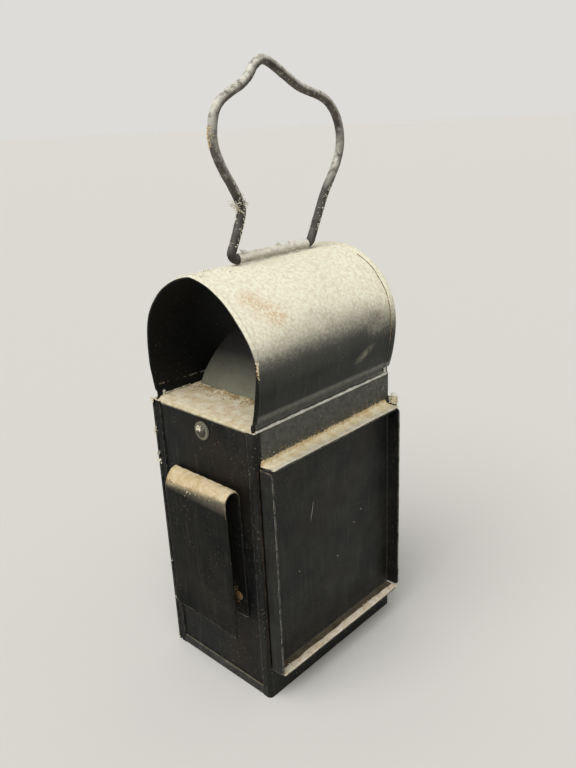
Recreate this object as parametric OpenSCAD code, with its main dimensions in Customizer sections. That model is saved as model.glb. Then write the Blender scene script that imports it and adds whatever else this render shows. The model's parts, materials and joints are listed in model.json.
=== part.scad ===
// Railway hand lamp: a folded tinplate case with a barrel hood, a wire bail,
// a lamp iron socket on the back and an oil burner behind a hinged side door.
// Millimetres. The origin is the centre of the base. Z is up, the back with
// its socket faces -Y, the window faces +Y and the door is on +X.

/* [Case] */
// Width of the narrow faces
case_w = 73.4; // [70:0.2:84]
// Length of the wide faces
case_l = 104.1; // [100:0.1:120]
// Height of the case up to the shelf
case_h = 150; // [144:0.5:170]
// Thickness of the case sheet
sheet_t = 0.8; // [0.6:0.1:1]
// Outside radius of the sheet bends
bend_r = 2.2; // [1.6:0.1:3]
// Width of the seams folded round the corners
seam_w = 5; // [4:0.5:7]
// How far the plain side's back seam stands out from that side
seam_proud = 1.4; // [1:0.1:2]
// Height of the lip round the base
lip_h = 5.5; // [4:0.5:9]

/* [Hood] */
// Outside radius of the barrel
hood_r = 40.4; // [39:0.2:44]
// Height of the barrel's axis above the case
hood_rise = 27; // [24:0.5:32]
// Length of the hood
hood_l = 102; // [96:0.5:103]
// Thickness of the hood sheet
hood_t = 0.8; // [0.6:0.1:1]
// Radius of the curve that draws the skirt in
skirt_r = 75; // [68:1:90]
// Height of the crease above the case
crease_h = 4.5; // [3:0.5:7]
// Depth of the skirt inside the case
tuck_h = 4; // [2:0.5:6]
// Width of the hem folded back at each mouth
hem_w = 4.5; // [3:0.5:8]
// Thickness of the folded hem
hem_t = 0.5; // [0.3:0.1:0.8]

/* [Inner cowl] */
// Width of the cowl's foot
cowl_w = 68; // [60:0.5:69]
// Length of the cowl's foot
cowl_l = 52; // [48:0.5:66]
// Thickness of the cowl sheet
cowl_t = 0.7; // [0.5:0.1:1]
// Radius of the cowl's swept walls
cowl_sweep = 84; // [72:1:90]
// Lean of the wall at the foot, in degrees
cowl_lean = 13; // [10:1:18]
// Lean of the wall at the vent, in degrees
vent_lean = 40; // [34:1:41]
// Width of the flue through the shelf
flue_w = 48; // [40:1:52]
// Length of the flue through the shelf
flue_l = 40; // [34:1:44]
// Radius of the flue's corners
flue_r = 9; // [4:0.5:12]

/* [Handle] */
// Diameter of the bail wire
wire_d = 4.5; // [3.6:0.1:5]
// Height of the bail's point above its pivot
bail_h = 90; // [84:1:104]
// Width of the bail
bail_w = 90; // [86:1:98]
// Length of the pivot sleeve
sleeve_l = 50; // [44:1:52]
// Distance of the sleeve's middle from the hood's middle
sleeve_y = 4.4; // [0:0.2:6]
// Wall of the pivot sleeve
sleeve_wall = 0.6; // [0.5:0.1:1]
// Radial running clearance of the pivots
pivot_gap = 0.05; // [0.03:0.01:0.09]

/* [Socket] */
// Width of the strap
strap_w = 47.4; // [38:0.2:52]
// Thickness of the strap
strap_t = 1; // [0.8:0.1:1.4]
// Height of the strap's rolled top above the base
strap_top = 118.2; // [110:0.2:126]
// Height of the strap's lower edge above the base
strap_foot = 36.5; // [30:0.5:48]
// Gap at the top of the socket
socket_gap = 8.3; // [6.5:0.1:10]
// How much the front leg closes in at its foot
socket_taper = 1.4; // [0:0.1:2]
// Sideways offset of the strap
strap_x = 0.6; // [-2:0.1:2]
// Distance of the outer rivets from the strap's middle
strap_rivet_x = 18; // [12:0.5:18]
// Height of the outer rivets above the base
strap_rivet_z = 56; // [54:1:66]
// Height of the middle rivet above the base
strap_rivet_top = 100; // [90:1:102]

/* [Rivets] */
// Radius of the rivet shanks
shank_r = 1.5; // [1.2:0.1:1.8]
// Radius of the rivet heads
head_r = 3.2; // [2.6:0.1:3.6]
// Height of the rivet heads
head_h = 2.1; // [1.6:0.1:2.6]
// Height of the strap rivet heads inside the socket
low_head_h = 1.2; // [0.9:0.1:1.4]
// Distance of the top rivet below the shelf
top_rivet_drop = 8; // [7:0.5:11]
// Radius of the washer under the top rivet
washer_r = 4.7; // [4:0.1:6.5]
// Thickness of the washer
washer_t = 0.9; // [0.6:0.1:1.2]

/* [Door] */
// Height of the door's lower edge above the base
door_z = 17.5; // [14:0.5:24]
// Height of the door
door_h = 115.5; // [104:0.5:120]
// Depth of the door's raised border
door_d = 8.6; // [6:0.1:11]
// Distance from the case's back corner to the door
door_inset = 1.5; // [1:0.1:4]
// Gap between the case and the closed door
door_gap = 0.3; // [0.3:0.1:0.6]
// Overlap of the door round its opening
door_lap = 4.5; // [3:0.5:8]
// Open corner between neighbouring border strips
corner_gap = 0.9; // [0.9:0.1:1.5]
// Radius of the corners of the border strips
border_r = 2.5; // [1.5:0.5:4]
// Radius of the hinge pin
pin_r = 0.9; // [0.8:0.05:1.1]
// Wall of the hinge knuckles
knuckle_wall = 0.65; // [0.5:0.05:0.8]
// Height of the hinge above the base
hinge_z = 24; // [22:1:28]
// Length of the hinge
hinge_h = 112; // [96:1:114]
// Gap between the knuckles
knuckle_gap = 0.4; // [0.3:0.1:0.8]
// Height of the spring tongue
tongue_h = 12; // [8:1:20]
// Reach of the spring tongue into the case
tongue_d = 6; // [4:0.5:8]

/* [Window] */
// Width of the window opening
window_w = 50; // [40:1:52]
// Height of the window opening
window_h = 88; // [70:1:92]
// Height of the window's lower edge above the base
window_z = 44; // [42:1:50]
// Thickness of the glass
glass_t = 2; // [1.5:0.1:3]
// Overlap of the glass behind the opening
glass_lap = 3; // [2:0.5:3.5]

/* [Reflector] */
// Width of the reflector
reflector_w = 56; // [44:1:58]
// Height of the reflector
reflector_h = 78; // [60:1:80]
// Radius of the reflector's curve
reflector_r = 60; // [50:1:90]
// Thickness of the reflector
reflector_t = 0.6; // [0.4:0.1:0.8]
// Gap between the reflector and the back
reflector_gap = 2.4; // [2.2:0.1:4]

/* [Fount] */
// Width of the oil fount
fount_w = 60; // [52:1:62]
// Length of the oil fount
fount_l = 84; // [70:1:86]
// Height of the oil fount
fount_h = 34; // [28:0.5:35]
// Sheet of the oil fount
fount_t = 0.7; // [0.5:0.1:1]
// Corner radius of the oil fount
fount_r = 8; // [4:0.5:12]
// Gap between the fount and its guides
guide_gap = 0.5; // [0.4:0.1:1]
// Inside radius of the filler collar
collar_r = 12.5; // [11:0.5:14]
// Height of the filler collar
collar_h = 5; // [4:0.5:7]

/* [Burner] */
// Width of the wick
wick_w = 13; // [10:0.5:14]
// Thickness of the wick
wick_t = 2.2; // [1.6:0.1:2.6]
// Height of the wick tube above the burner plate
tube_h = 24; // [20:0.5:28]
// Wall of the wick tube
tube_wall = 0.5; // [0.4:0.1:0.7]
// Gap between the wick and its tube
wick_gap = 0.3; // [0.25:0.05:0.4]
// Wick showing above the tube
wick_show = 1.5; // [1:0.5:3]
// Radius of the spur wheels at their points
spur_r = 4.2; // [3.8:0.1:4.6]
// Teeth on each spur wheel
spur_teeth = 9; // [7:1:12]
// Thickness of a spur wheel
spur_t = 1; // [0.8:0.1:1.2]
// Radius of the winder spindle
spindle_r = 1; // [0.9:0.05:1.2]
// Radius of the winder knob
knob_r = 7; // [5.5:0.5:7.5]
// Thickness of the winder knob
knob_t = 3; // [2:0.5:4]
// Grips milled round the knob
knob_grips = 20; // [14:1:26]

/* [Hidden] */
$fn = 96;
slop = 1;
touch = 0.05;

// Case planes
side_x = case_w / 2;
side_in = side_x - sheet_t;
end_y = case_l / 2;
plate_y = end_y - sheet_t;
plate_in = plate_y - sheet_t;
plate_x = side_in - hood_t;
seam_gap = 0.5;

// Hood heights
axis_z = case_h + hood_rise;
crown_z = axis_z + hood_r;
flare_x = hood_r - skirt_r;
crease_drop = hood_rise - crease_h;
crease_x = flare_x + sqrt(skirt_r * skirt_r - crease_drop * crease_drop);
crease_in = flare_x + sqrt(pow(skirt_r - hood_t, 2) - crease_drop * crease_drop);
cowl_h = cowl_sweep * (sin(vent_lean) - sin(cowl_lean));

// Handle pivot
wire_r = wire_d / 2;
sleeve_in = wire_r + pivot_gap;
sleeve_r = sleeve_in + sleeve_wall;
solder_sink = 0.2;
pivot_z = crown_z + sleeve_r - solder_sink;
pivot_bend = wire_d * 0.7;
bend_bite = 0.3;
bend_swell = 0.02;
foot_back = 5.4;
foot_front = 2.6;
foot_left = -sleeve_l / 2 - foot_back;
foot_right = sleeve_l / 2 + foot_front;
// Corners of the bail for a loop 90 wide and 90 high: along, up, bend radius
loop_size = 90;
loop_corners = [
    [-19.2, 23.2, 7], [-35.9, 50.5, 20], [-34.6, 69.4, 10], [-14.8, 77.4, 14],
    [-2.1, 90.8, 5],
    [24.6, 74.6, 30], [50.2, 68.8, 13], [54.6, 49.5, 18], [36.9, 20.5, 40]
];

// Socket strap
roll_r = socket_gap / 2 + strap_t;
roll_y = -plate_y - roll_r;
roll_z = strap_top - roll_r;

// Door
door_x = side_x + door_gap;
knuckle_in = pin_r + pivot_gap;
knuckle_r = knuckle_in + knuckle_wall;
leaf_t = knuckle_wall;
leaf_gap = 0.35;
hinge_y = end_y + leaf_t - knuckle_r;
hinge_x = door_x + sheet_t + knuckle_r + 0.8;
door_y0 = -end_y + door_inset;
door_y1 = hinge_y - knuckle_r - leaf_gap;
door_z1 = door_z + door_h;
hole_y0 = door_y0 + door_lap;
hole_y1 = door_y1 - door_lap;
hole_z0 = door_z + door_lap;
hole_z1 = door_z1 - door_lap;
knuckles = 5;
knuckle_h = (hinge_h - (knuckles - 1) * knuckle_gap) / knuckles;
tongue_gap = 1.2;
tongue_t = 0.6;

// Window
channel_t = 0.7;
channel_gap = 0.1;
glass_w = window_w + 2 * glass_lap;

// Burner
fount_top = sheet_t + fount_h;
collar_top = fount_top + collar_h;
collar_wall = 1.2;
burner_t = 1.2;
burner_top = collar_top + burner_t;
tube_in_w = wick_w + 2 * wick_gap;
tube_in_t = wick_t + 2 * wick_gap;
tube_top = burner_top + tube_h;
spur_gap = 0.15;
spur_side_gap = 0.5;
spur_root = spur_r * 0.66;
spindle_y = -(wick_t / 2 + spur_gap + spur_r);
spindle_rise = 3;
spindle_z = burner_top + spur_r + spindle_rise;
ear_x = tube_in_w / 2 + tube_wall;
ear_t = 1;
knob_x = fount_w / 2 - knob_t - 2;
wick_clear = 5;
wick_foot = sheet_t + fount_t + wick_clear;

// Flat shapes

// A flat rectangle with its two low corners on x = 0 rounded
module half_rounded(depth, length, r) {
    translate([r, -length / 2]) square([depth - r, length]);
    translate([0, -length / 2 + r]) square([r, length - 2 * r]);
    for (s = [-1, 1]) translate([r, s * (length / 2 - r)]) circle(r);
}

// A flat rectangle with all four corners rounded, centred
module rounded_rect(w, l, r) {
    square([w, l - 2 * r], center = true);
    square([w - 2 * r, l], center = true);
    for (x = [-1, 1], y = [-1, 1]) translate([x * (w / 2 - r), y * (l / 2 - r)]) circle(r);
}

// Everything under the arch: a half barrel over a skirt that draws in
module arch_area(r, flare_r, drop) {
    intersection() {
        circle(r);
        translate([-r, 0]) square([2 * r, r]);
    }
    intersection() {
        translate([flare_x, 0]) circle(flare_r);
        translate([-flare_x, 0]) circle(flare_r);
        translate([-r, -drop]) square([2 * r, drop + touch]);
    }
}

// Stands a flat shape drawn in X and Z upright, running the length l along Y
module along_y(l) {
    translate([0, l / 2, 0]) rotate([90, 0, 0]) linear_extrude(l) children();
}

// Stands a flat shape drawn in Y and Z upright, running the width w along X
module along_x(w) {
    translate([-w / 2, 0, 0]) rotate([90, 0, 90]) linear_extrude(w) children();
}

// A short cylinder along X from x0
module rod_x(x0, l, r) {
    translate([x0, 0, 0]) rotate([0, 90, 0]) cylinder(h = l, r = r);
}

// Domed rivet head standing on z = 0
module dome(r, h) {
    ball_r = (r * r + h * h) / (2 * h);
    rotate_extrude() intersection() {
        translate([0, h - ball_r]) circle(ball_r);
        square([r, h]);
    }
}

// Rivet pointing along -Y: head outside, shank through, tail dome inside
module rivet(grip, r, h) {
    rotate([90, 0, 0]) {
        dome(r, h);
        translate([0, 0, -grip]) cylinder(h = grip + touch, r = shank_r);
        translate([0, 0, -grip]) mirror([0, 0, 1]) dome(r * 0.8, low_head_h);
    }
}

// A wire along straight runs with bends: corners are [along, up, bend radius]
function heading(a, b) = let (d = [b[0] - a[0], b[1] - a[1]]) d / norm(d);
function bearing(d) = atan2(d[1], d[0]);
function turn_at(p, i) =
    let (a = heading(p[i - 1], p[i]), b = heading(p[i], p[i + 1]))
    atan2(a[0] * b[1] - a[1] * b[0], a * b);
function setback(p, i) =
    i == 0 || i == len(p) - 1 ? 0 : p[i][2] * tan(abs(turn_at(p, i)) / 2);

module wire_bend(p, i, r) {
    a = heading(p[i - 1], p[i]);
    turn = turn_at(p, i);
    side = sign(turn);
    start = [p[i][0], p[i][1]] - a * setback(p, i);
    centre = start + side * p[i][2] * [-a[1], a[0]];
    first = bearing(start - centre);
    translate([centre[0], centre[1], 0])
        rotate([0, 0, turn > 0 ? first : first + turn])
        rotate_extrude(angle = abs(turn)) translate([p[i][2], 0]) circle(r + bend_swell);
}

// Each straight run ends just inside its bends, which are a hair fuller
module wire_run(p, i, r) {
    d = heading(p[i], p[i + 1]);
    first = i == 0 ? 0 : bend_bite;
    last = i == len(p) - 2 ? 0 : bend_bite;
    start = [p[i][0], p[i][1]] + d * (setback(p, i) - first);
    run = norm([p[i + 1][0] - p[i][0], p[i + 1][1] - p[i][1]])
        - setback(p, i) - setback(p, i + 1) + first + last;
    translate([start[0], start[1], 0])
        rotate([0, 0, bearing(d)]) rotate([0, 90, 0]) cylinder(h = run, r = r);
}

// Case

// One wide side with its seams folded round both corners
module side_sheet() {
    linear_extrude(case_h) difference() {
        half_rounded(seam_w, case_l, bend_r);
        translate([sheet_t, 0])
            half_rounded(seam_w, case_l - 2 * sheet_t, bend_r - sheet_t);
    }
}

// The back seam of the plain side is folded over twice and laid flat on that side
module laid_seam() {
    edge_r = seam_proud / 2;
    depth = seam_proud + sheet_t / 2;
    linear_extrude(case_h) translate([-seam_proud, -end_y]) {
        translate([edge_r, 0]) square([depth - edge_r, seam_w]);
        translate([0, edge_r]) square([depth, seam_w - 2 * edge_r]);
        for (y = [edge_r, seam_w - edge_r]) translate([edge_r, y]) circle(edge_r);
    }
}

module side_left() {
    color("#262927") translate([-side_x, 0, 0]) {
        side_sheet();
        laid_seam();
    }
}

module side_right() {
    color("#262927") difference() {
        mirror([1, 0, 0]) translate([-side_x, 0, 0]) side_sheet();
        translate([side_in - slop, hole_y0, hole_z0])
            cube([sheet_t + 2 * slop, hole_y1 - hole_y0, hole_z1 - hole_z0]);
    }
}

// Area bounded by the outside of an end plate and its half of the shelf
module end_area(inset, r) {
    y0 = -plate_y + inset;
    z1 = case_h - inset;
    translate([y0, 0]) square([-y0 + inset, z1 - r]);
    translate([y0 + r, 0]) square([-y0 - r + inset, z1]);
    translate([y0 + r, z1 - r]) circle(r);
}

// Area inside the two folded sides
module case_inside() {
    rounded_rect(2 * side_in, 2 * plate_y, bend_r - sheet_t);
}

// A narrow end and its half of the shelf, folded from one sheet
module end_plate() {
    intersection() {
        along_x(2 * plate_x) difference() {
            end_area(0, bend_r);
            end_area(sheet_t, bend_r - sheet_t);
            translate([-case_l, -slop]) square([2 * case_l, slop + sheet_t]);
        }
        linear_extrude(2 * case_h) difference() {
            case_inside();
            rounded_rect(flue_w, flue_l, flue_r);
        }
    }
}

module back_plate() {
    color("#2a2c2a") difference() {
        end_plate();
        translate([0, -plate_y - slop, case_h - top_rivet_drop])
            rotate([-90, 0, 0]) cylinder(h = sheet_t + 2 * slop, r = shank_r + touch);
        for (p = strap_rivet_points()) translate([p[0], -plate_y - slop, p[1]])
            rotate([-90, 0, 0]) cylinder(h = sheet_t + 2 * slop, r = shank_r + touch);
    }
}

module front_plate() {
    color("#2a2c2a") difference() {
        rotate([0, 0, 180]) end_plate();
        translate([0, plate_y, window_z + window_h / 2]) rotate([90, 0, 0])
            linear_extrude(6 * sheet_t, center = true) rounded_rect(window_w, window_h, bend_r);
    }
}

module base_tray() {
    tab_w = case_w - 2 * seam_w - 2 * seam_gap;
    color("#232524") {
        linear_extrude(sheet_t) case_inside();
        for (s = [0, 1]) mirror([0, s, 0]) along_x(tab_w) translate([-end_y, 0]) {
            translate([0, sheet_t]) square([sheet_t, lip_h - sheet_t]);
            intersection() {
                translate([sheet_t, sheet_t]) circle(sheet_t);
                square([sheet_t, 2 * sheet_t]);
            }
        }
        for (s = [-1, 1]) translate([s * (side_in - sheet_t / 2), 0, lip_h / 2])
            cube([sheet_t, 2 * (plate_in - seam_gap), lip_h], center = true);
    }
}

// Hood and cowl

module hood_section(proud) {
    difference() {
        arch_area(hood_r + proud, skirt_r + proud, crease_drop);
        arch_area(hood_r - hood_t, skirt_r - hood_t, crease_drop + slop);
    }
}

// The skirt below the crease steps in and runs down inside the case
module skirt_section() {
    for (s = [0, 1]) mirror([s, 0]) polygon([
        [crease_x, -crease_drop], [side_in, -crease_drop - hood_t],
        [side_in, -hood_rise], [plate_x, -hood_rise],
        [plate_x, -crease_drop - hood_t], [crease_in, -crease_drop]
    ]);
}

module hood() {
    tuck_l = 2 * (plate_in - bend_r);
    color("#4b4f4a") translate([0, 0, axis_z]) {
        along_y(hood_l - 2 * hem_w) hood_section(0);
        for (s = [-1, 1]) translate([0, s * (hood_l - hem_w) / 2, 0])
            along_y(hem_w) hood_section(hem_t);
        along_y(hood_l) skirt_section();
        for (s = [-1, 1])
            translate([s * (side_in - hood_t / 2), 0, -hood_rise - tuck_h / 2])
            cube([hood_t, tuck_l, tuck_h], center = true);
    }
}

// Area under two opposite walls of the cowl, which lean in more as they rise
module cowl_span(half, inset, spare) {
    centre_x = half - cowl_sweep * cos(cowl_lean);
    centre_z = -cowl_sweep * sin(cowl_lean);
    intersection() {
        translate([centre_x, centre_z]) circle(cowl_sweep - inset);
        translate([-centre_x, centre_z]) circle(cowl_sweep - inset);
        translate([-half, -spare]) square([2 * half, cowl_h + 2 * spare]);
    }
}

// Both pairs of walls meet in hips at the corners
module cowl_form(inset, spare) {
    intersection() {
        along_y(cowl_l + 2 * slop) cowl_span(cowl_w / 2, inset, spare);
        along_x(cowl_w + 2 * slop) cowl_span(cowl_l / 2, inset, spare);
    }
}

module inner_cowl() {
    color("#77776b") translate([0, 0, case_h]) difference() {
        cowl_form(0, 0);
        cowl_form(cowl_t, slop);
    }
}

// Handle

// Tube on the crown with solder run down to the barrel on both sides
module handle_sleeve() {
    solder_w = sleeve_r * 1.5;
    solder_top = [sleeve_r * 0.8, pivot_z - sleeve_r * 0.6];
    color("#8f8b78") translate([0, sleeve_y, 0]) along_y(sleeve_l) difference() {
        union() {
            translate([0, pivot_z]) circle(sleeve_r);
            for (s = [0, 1]) mirror([s, 0]) polygon([
                [-touch, crown_z - hood_t], [solder_w, crown_z - hood_t], solder_top,
                [-touch, solder_top[1]]
            ]);
        }
        translate([0, axis_z]) circle(hood_r);
        translate([0, pivot_z]) circle(sleeve_in);
    }
}

// Bail: both ends of the wire turn into the sleeve and meet inside it
module bail() {
    grow = [bail_w / loop_size, bail_h / loop_size];
    loop = [for (c = loop_corners) [c[0] * grow[0], c[1] * grow[1], c[2] * min(grow)]];
    corners = concat(
        [[-slop, 0, 0], [foot_left, 0, pivot_bend]],
        loop,
        [[foot_right, 0, pivot_bend], [slop, 0, 0]]
    );
    color("#6f6b60") translate([0, sleeve_y, pivot_z]) rotate([90, 0, 90]) {
        for (i = [0 : len(corners) - 2]) wire_run(corners, i, wire_r);
        for (i = [1 : len(corners) - 2]) wire_bend(corners, i, wire_r);
    }
}

// Socket on the back

function strap_rivet_points() = [
    [strap_x - strap_rivet_x, strap_rivet_z],
    [strap_x + strap_rivet_x, strap_rivet_z],
    [strap_x, strap_rivet_top]
];

// Area in Y and Z inside the strap's outer face, or its inner face when inset
module strap_area(inset, low) {
    back_y = -plate_y - inset;
    front_y = roll_y - roll_r + inset;
    close_in = socket_taper * (roll_z - low) / (roll_z - strap_foot);
    polygon([[back_y, low], [back_y, roll_z], [front_y, roll_z], [front_y + close_in, low]]);
    translate([roll_y, roll_z]) circle(roll_r - inset);
}

// One strap rolled over at the top: a leg on the back and a leg standing off it
module socket_strap() {
    color("#2b2d2c") difference() {
        translate([strap_x, 0, 0]) along_x(strap_w) difference() {
            strap_area(0, strap_foot);
            strap_area(strap_t, strap_foot - slop);
        }
        for (p = strap_rivet_points())
            translate([p[0], -plate_y - strap_t - slop, p[1]])
            rotate([-90, 0, 0]) cylinder(h = strap_t + 2 * slop, r = shank_r + touch);
    }
}

module strap_rivets() {
    color("#4a3f33") for (p = strap_rivet_points())
        translate([p[0], -plate_y - strap_t, p[1]])
        rivet(strap_t + sheet_t, head_r * 0.8, low_head_h);
}

module top_rivet() {
    color("#6d6a5c") translate([0, -plate_y - washer_t, case_h - top_rivet_drop])
        rivet(washer_t + sheet_t + reflector_t, head_r, head_h);
}

module rivet_washer() {
    color("#8d8b7d") translate([0, -plate_y, case_h - top_rivet_drop])
        rotate([90, 0, 0]) difference() {
            cylinder(h = washer_t, r = washer_r);
            translate([0, 0, -slop]) cylinder(h = washer_t + 2 * slop, r = shank_r + touch);
        }
}

// Curved sheet behind the flame, hung on a stepped tab under the top rivet
module reflector() {
    tab_w = 16;
    tab_lap = 8;
    tab_end = 6;
    step_h = 3;
    back_y = -plate_in;
    face_y = back_y + reflector_gap;
    rivet_z = case_h - top_rivet_drop;
    top_z = rivet_z - tab_end - tab_lap;
    foot_z = top_z - reflector_h;
    color("#9c9c96") difference() {
        union() {
            translate([0, 0, foot_z]) linear_extrude(reflector_h) intersection() {
                translate([0, face_y + reflector_r]) difference() {
                    circle(reflector_r);
                    circle(reflector_r - reflector_t);
                }
                translate([-reflector_w / 2, face_y - slop])
                    square([reflector_w, reflector_r / 2]);
            }
            along_x(tab_w) polygon([
                [face_y, top_z - tab_lap], [face_y + reflector_t, top_z - tab_lap],
                [face_y + reflector_t, top_z + reflector_t],
                [back_y + reflector_t, top_z + reflector_t + step_h],
                [back_y + reflector_t, rivet_z + tab_end], [back_y, rivet_z + tab_end],
                [back_y, top_z + step_h], [face_y, top_z]
            ]);
        }
        translate([0, back_y - slop, rivet_z]) rotate([-90, 0, 0])
            cylinder(h = reflector_t + 2 * slop, r = shank_r + touch);
    }
}

// Door

// Border strip standing out from the panel, its free corners rounded
module border_strip(l) {
    linear_extrude(sheet_t) {
        translate([0, -l / 2]) square([door_d - border_r, l]);
        translate([0, -l / 2 + border_r]) square([door_d, l - 2 * border_r]);
        for (s = [-1, 1]) translate([door_d - border_r, s * (l / 2 - border_r)])
            circle(border_r);
    }
}

module door_tray() {
    w = door_y1 - door_y0;
    mid_y = (door_y0 + door_y1) / 2;
    mid_z = door_z + door_h / 2;
    color("#252726") translate([door_x, mid_y, mid_z]) {
        translate([0, -w / 2, -door_h / 2]) cube([sheet_t, w, door_h]);
        for (s = [0, 1]) mirror([0, 0, s]) translate([0, 0, door_h / 2 - sheet_t])
            border_strip(w - 2 * corner_gap);
        for (s = [0, 1]) mirror([0, s, 0]) translate([0, w / 2, 0]) rotate([90, 0, 0])
            border_strip(door_h - 2 * corner_gap);
    }
}

// Height above the base of a knuckle's lower end
function knuckle_z(i) = hinge_z + i * (knuckle_h + knuckle_gap);

module knuckle_ring() {
    difference() {
        circle(knuckle_r);
        circle(knuckle_in);
    }
}

// Leaf soldered to the door's border, rolled into the second and fourth knuckles
module door_hinge_leaf() {
    leaf_x = door_x + door_d - border_r;
    color("#343633") for (i = [1 : 2 : knuckles - 1])
        translate([0, 0, knuckle_z(i)]) linear_extrude(knuckle_h) {
            translate([hinge_x, hinge_y]) knuckle_ring();
            translate([hinge_x, door_y1]) square([leaf_x - hinge_x, leaf_t]);
            difference() {
                translate([hinge_x, door_y1]) square([knuckle_r, knuckle_r]);
                translate([hinge_x, hinge_y]) circle(knuckle_in + leaf_t / 2);
            }
        }
}

// Leaf soldered to the case's corner seam, rolled into the other knuckles
module case_hinge_leaf() {
    color("#343633") for (i = [0 : 2 : knuckles - 1])
        translate([0, 0, knuckle_z(i)]) linear_extrude(knuckle_h) {
            translate([hinge_x, hinge_y]) knuckle_ring();
            translate([side_x - seam_w, end_y]) square([hinge_x - side_x + seam_w, leaf_t]);
        }
}

module hinge_pin() {
    tail = 2;
    pin_head_r = 1.5;
    pin_head_h = 2;
    color("#b9b6a6") translate([hinge_x, hinge_y, hinge_z]) {
        translate([0, 0, -tail]) cylinder(h = hinge_h + tail, r = pin_r);
        translate([0, 0, hinge_h]) cylinder(h = pin_head_h, r = pin_head_r);
    }
}

// Spring tongue on the door, bearing inside the edge of the opening when shut
module door_spring() {
    foot_l = 8;
    y0 = hole_y0 + tongue_gap;
    color("#8a8a80") translate([0, 0, door_z + door_h / 2 - tongue_h / 2]) {
        translate([door_x - tongue_t, y0, 0]) cube([tongue_t, foot_l, tongue_h]);
        translate([door_x - tongue_d, y0, 0]) cube([tongue_d, tongue_t, tongue_h]);
    }
}

// Window

module window_glass() {
    color([0.75, 0.85, 0.85, 0.4])
        translate([-glass_w / 2, plate_in - glass_t, window_z - glass_lap])
        cube([glass_w, glass_t, window_h + 2 * glass_lap]);
}

// Three folded strips that hold the glass at its sides and foot
module glass_channel() {
    deep = glass_t + channel_gap + channel_t;
    x0 = glass_w / 2 + channel_gap;
    z0 = window_z - glass_lap;
    z1 = window_z + window_h + glass_lap;
    y0 = plate_in - deep;
    color("#5f5f58") {
        for (s = [0, 1]) mirror([s, 0, 0]) {
            translate([x0, y0, z0 - channel_t]) cube([channel_t, deep, z1 - z0]);
            translate([x0 - glass_lap, y0, z0 - channel_t])
                cube([glass_lap + channel_t, channel_t, z1 - z0]);
        }
        translate([-x0, y0, z0 - channel_t]) cube([2 * x0, deep, channel_t]);
        translate([-x0, y0, z0 - channel_t]) cube([2 * x0, channel_t, glass_lap + channel_t]);
    }
}

// Fount

module fount() {
    color("#8c8a7c") translate([0, 0, sheet_t]) difference() {
        linear_extrude(fount_h) rounded_rect(fount_w, fount_l, fount_r);
        translate([0, 0, fount_t]) linear_extrude(fount_h - 2 * fount_t)
            rounded_rect(fount_w - 2 * fount_t, fount_l - 2 * fount_t, fount_r - fount_t);
        translate([0, 0, fount_h - 2 * fount_t]) cylinder(h = 3 * fount_t, r = collar_r);
    }
}

// Two strips on the floor that the fount slides between
module fount_guides() {
    guide_h = 5;
    guide_w = fount_w - 2 * fount_r;
    y0 = fount_l / 2 + guide_gap;
    color("#3a3c39") for (s = [0, 1]) mirror([0, s, 0]) {
        translate([-guide_w / 2, y0, sheet_t]) cube([guide_w, sheet_t, guide_h]);
        translate([-guide_w / 2, y0, sheet_t]) cube([guide_w, guide_h / 2, sheet_t]);
    }
}

module filler_collar() {
    color("#a58b4c") translate([0, 0, fount_top]) difference() {
        cylinder(h = collar_h, r = collar_r + collar_wall);
        translate([0, 0, -slop]) cylinder(h = collar_h + 2 * slop, r = collar_r);
    }
}

// Burner plate with its plug in the collar and the ears of the winder
module burner() {
    plug_wall = 1;
    plate_r = collar_r + 2 * collar_wall;
    ear_w = 2 * spindle_r + 3;
    color("#a58b4c") difference() {
        union() {
            translate([0, 0, collar_top]) cylinder(h = burner_t, r = plate_r);
            translate([0, 0, collar_top - collar_h]) difference() {
                cylinder(h = collar_h + touch, r = collar_r - touch);
                translate([0, 0, -slop])
                    cylinder(h = collar_h + slop, r = collar_r - touch - plug_wall);
            }
            for (s = [0, 1]) mirror([s, 0, 0]) {
                translate([ear_x, spindle_y - ear_w / 2, burner_top - touch])
                    cube([ear_t, ear_w, spindle_z - burner_top + touch]);
                translate([0, spindle_y, spindle_z]) rod_x(ear_x, ear_t, ear_w / 2);
            }
        }
        translate([0, 0, collar_top]) cube(
            [tube_in_w + 2 * tube_wall, tube_in_t + 2 * tube_wall, 4 * burner_t], center = true
        );
        translate([0, spindle_y, spindle_z])
            rod_x(-ear_x - ear_t - slop, 2 * (ear_x + ear_t + slop), spindle_r + pivot_gap);
    }
}

// Flat tube that guides the wick, slotted where the spur wheels reach it
module wick_tube() {
    tube_foot = collar_top - collar_h;
    h = tube_top - tube_foot;
    slot_w = spur_t + 2 * spur_side_gap;
    slot_h = 2 * spur_r;
    color("#b0934f") difference() {
        translate([0, 0, tube_foot]) linear_extrude(h) difference() {
            square([tube_in_w + 2 * tube_wall, tube_in_t + 2 * tube_wall], center = true);
            square([tube_in_w, tube_in_t], center = true);
        }
        for (x = spur_places())
            translate([x, -tube_in_t / 2 - tube_wall, spindle_z])
            cube([slot_w, 4 * tube_wall, slot_h], center = true);
    }
}

module wick() {
    color("#d9d2bd") translate([-wick_w / 2, -wick_t / 2, wick_foot])
        cube([wick_w, wick_t, tube_top + wick_show - wick_foot]);
}

// Winder

function spur_places() = [-wick_w / 4, wick_w / 4];

module winder_spindle() {
    x0 = -ear_x - ear_t - 2;
    color("#b0934f") translate([0, spindle_y, spindle_z])
        rod_x(x0, knob_x + knob_t - x0, spindle_r);
}

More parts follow.
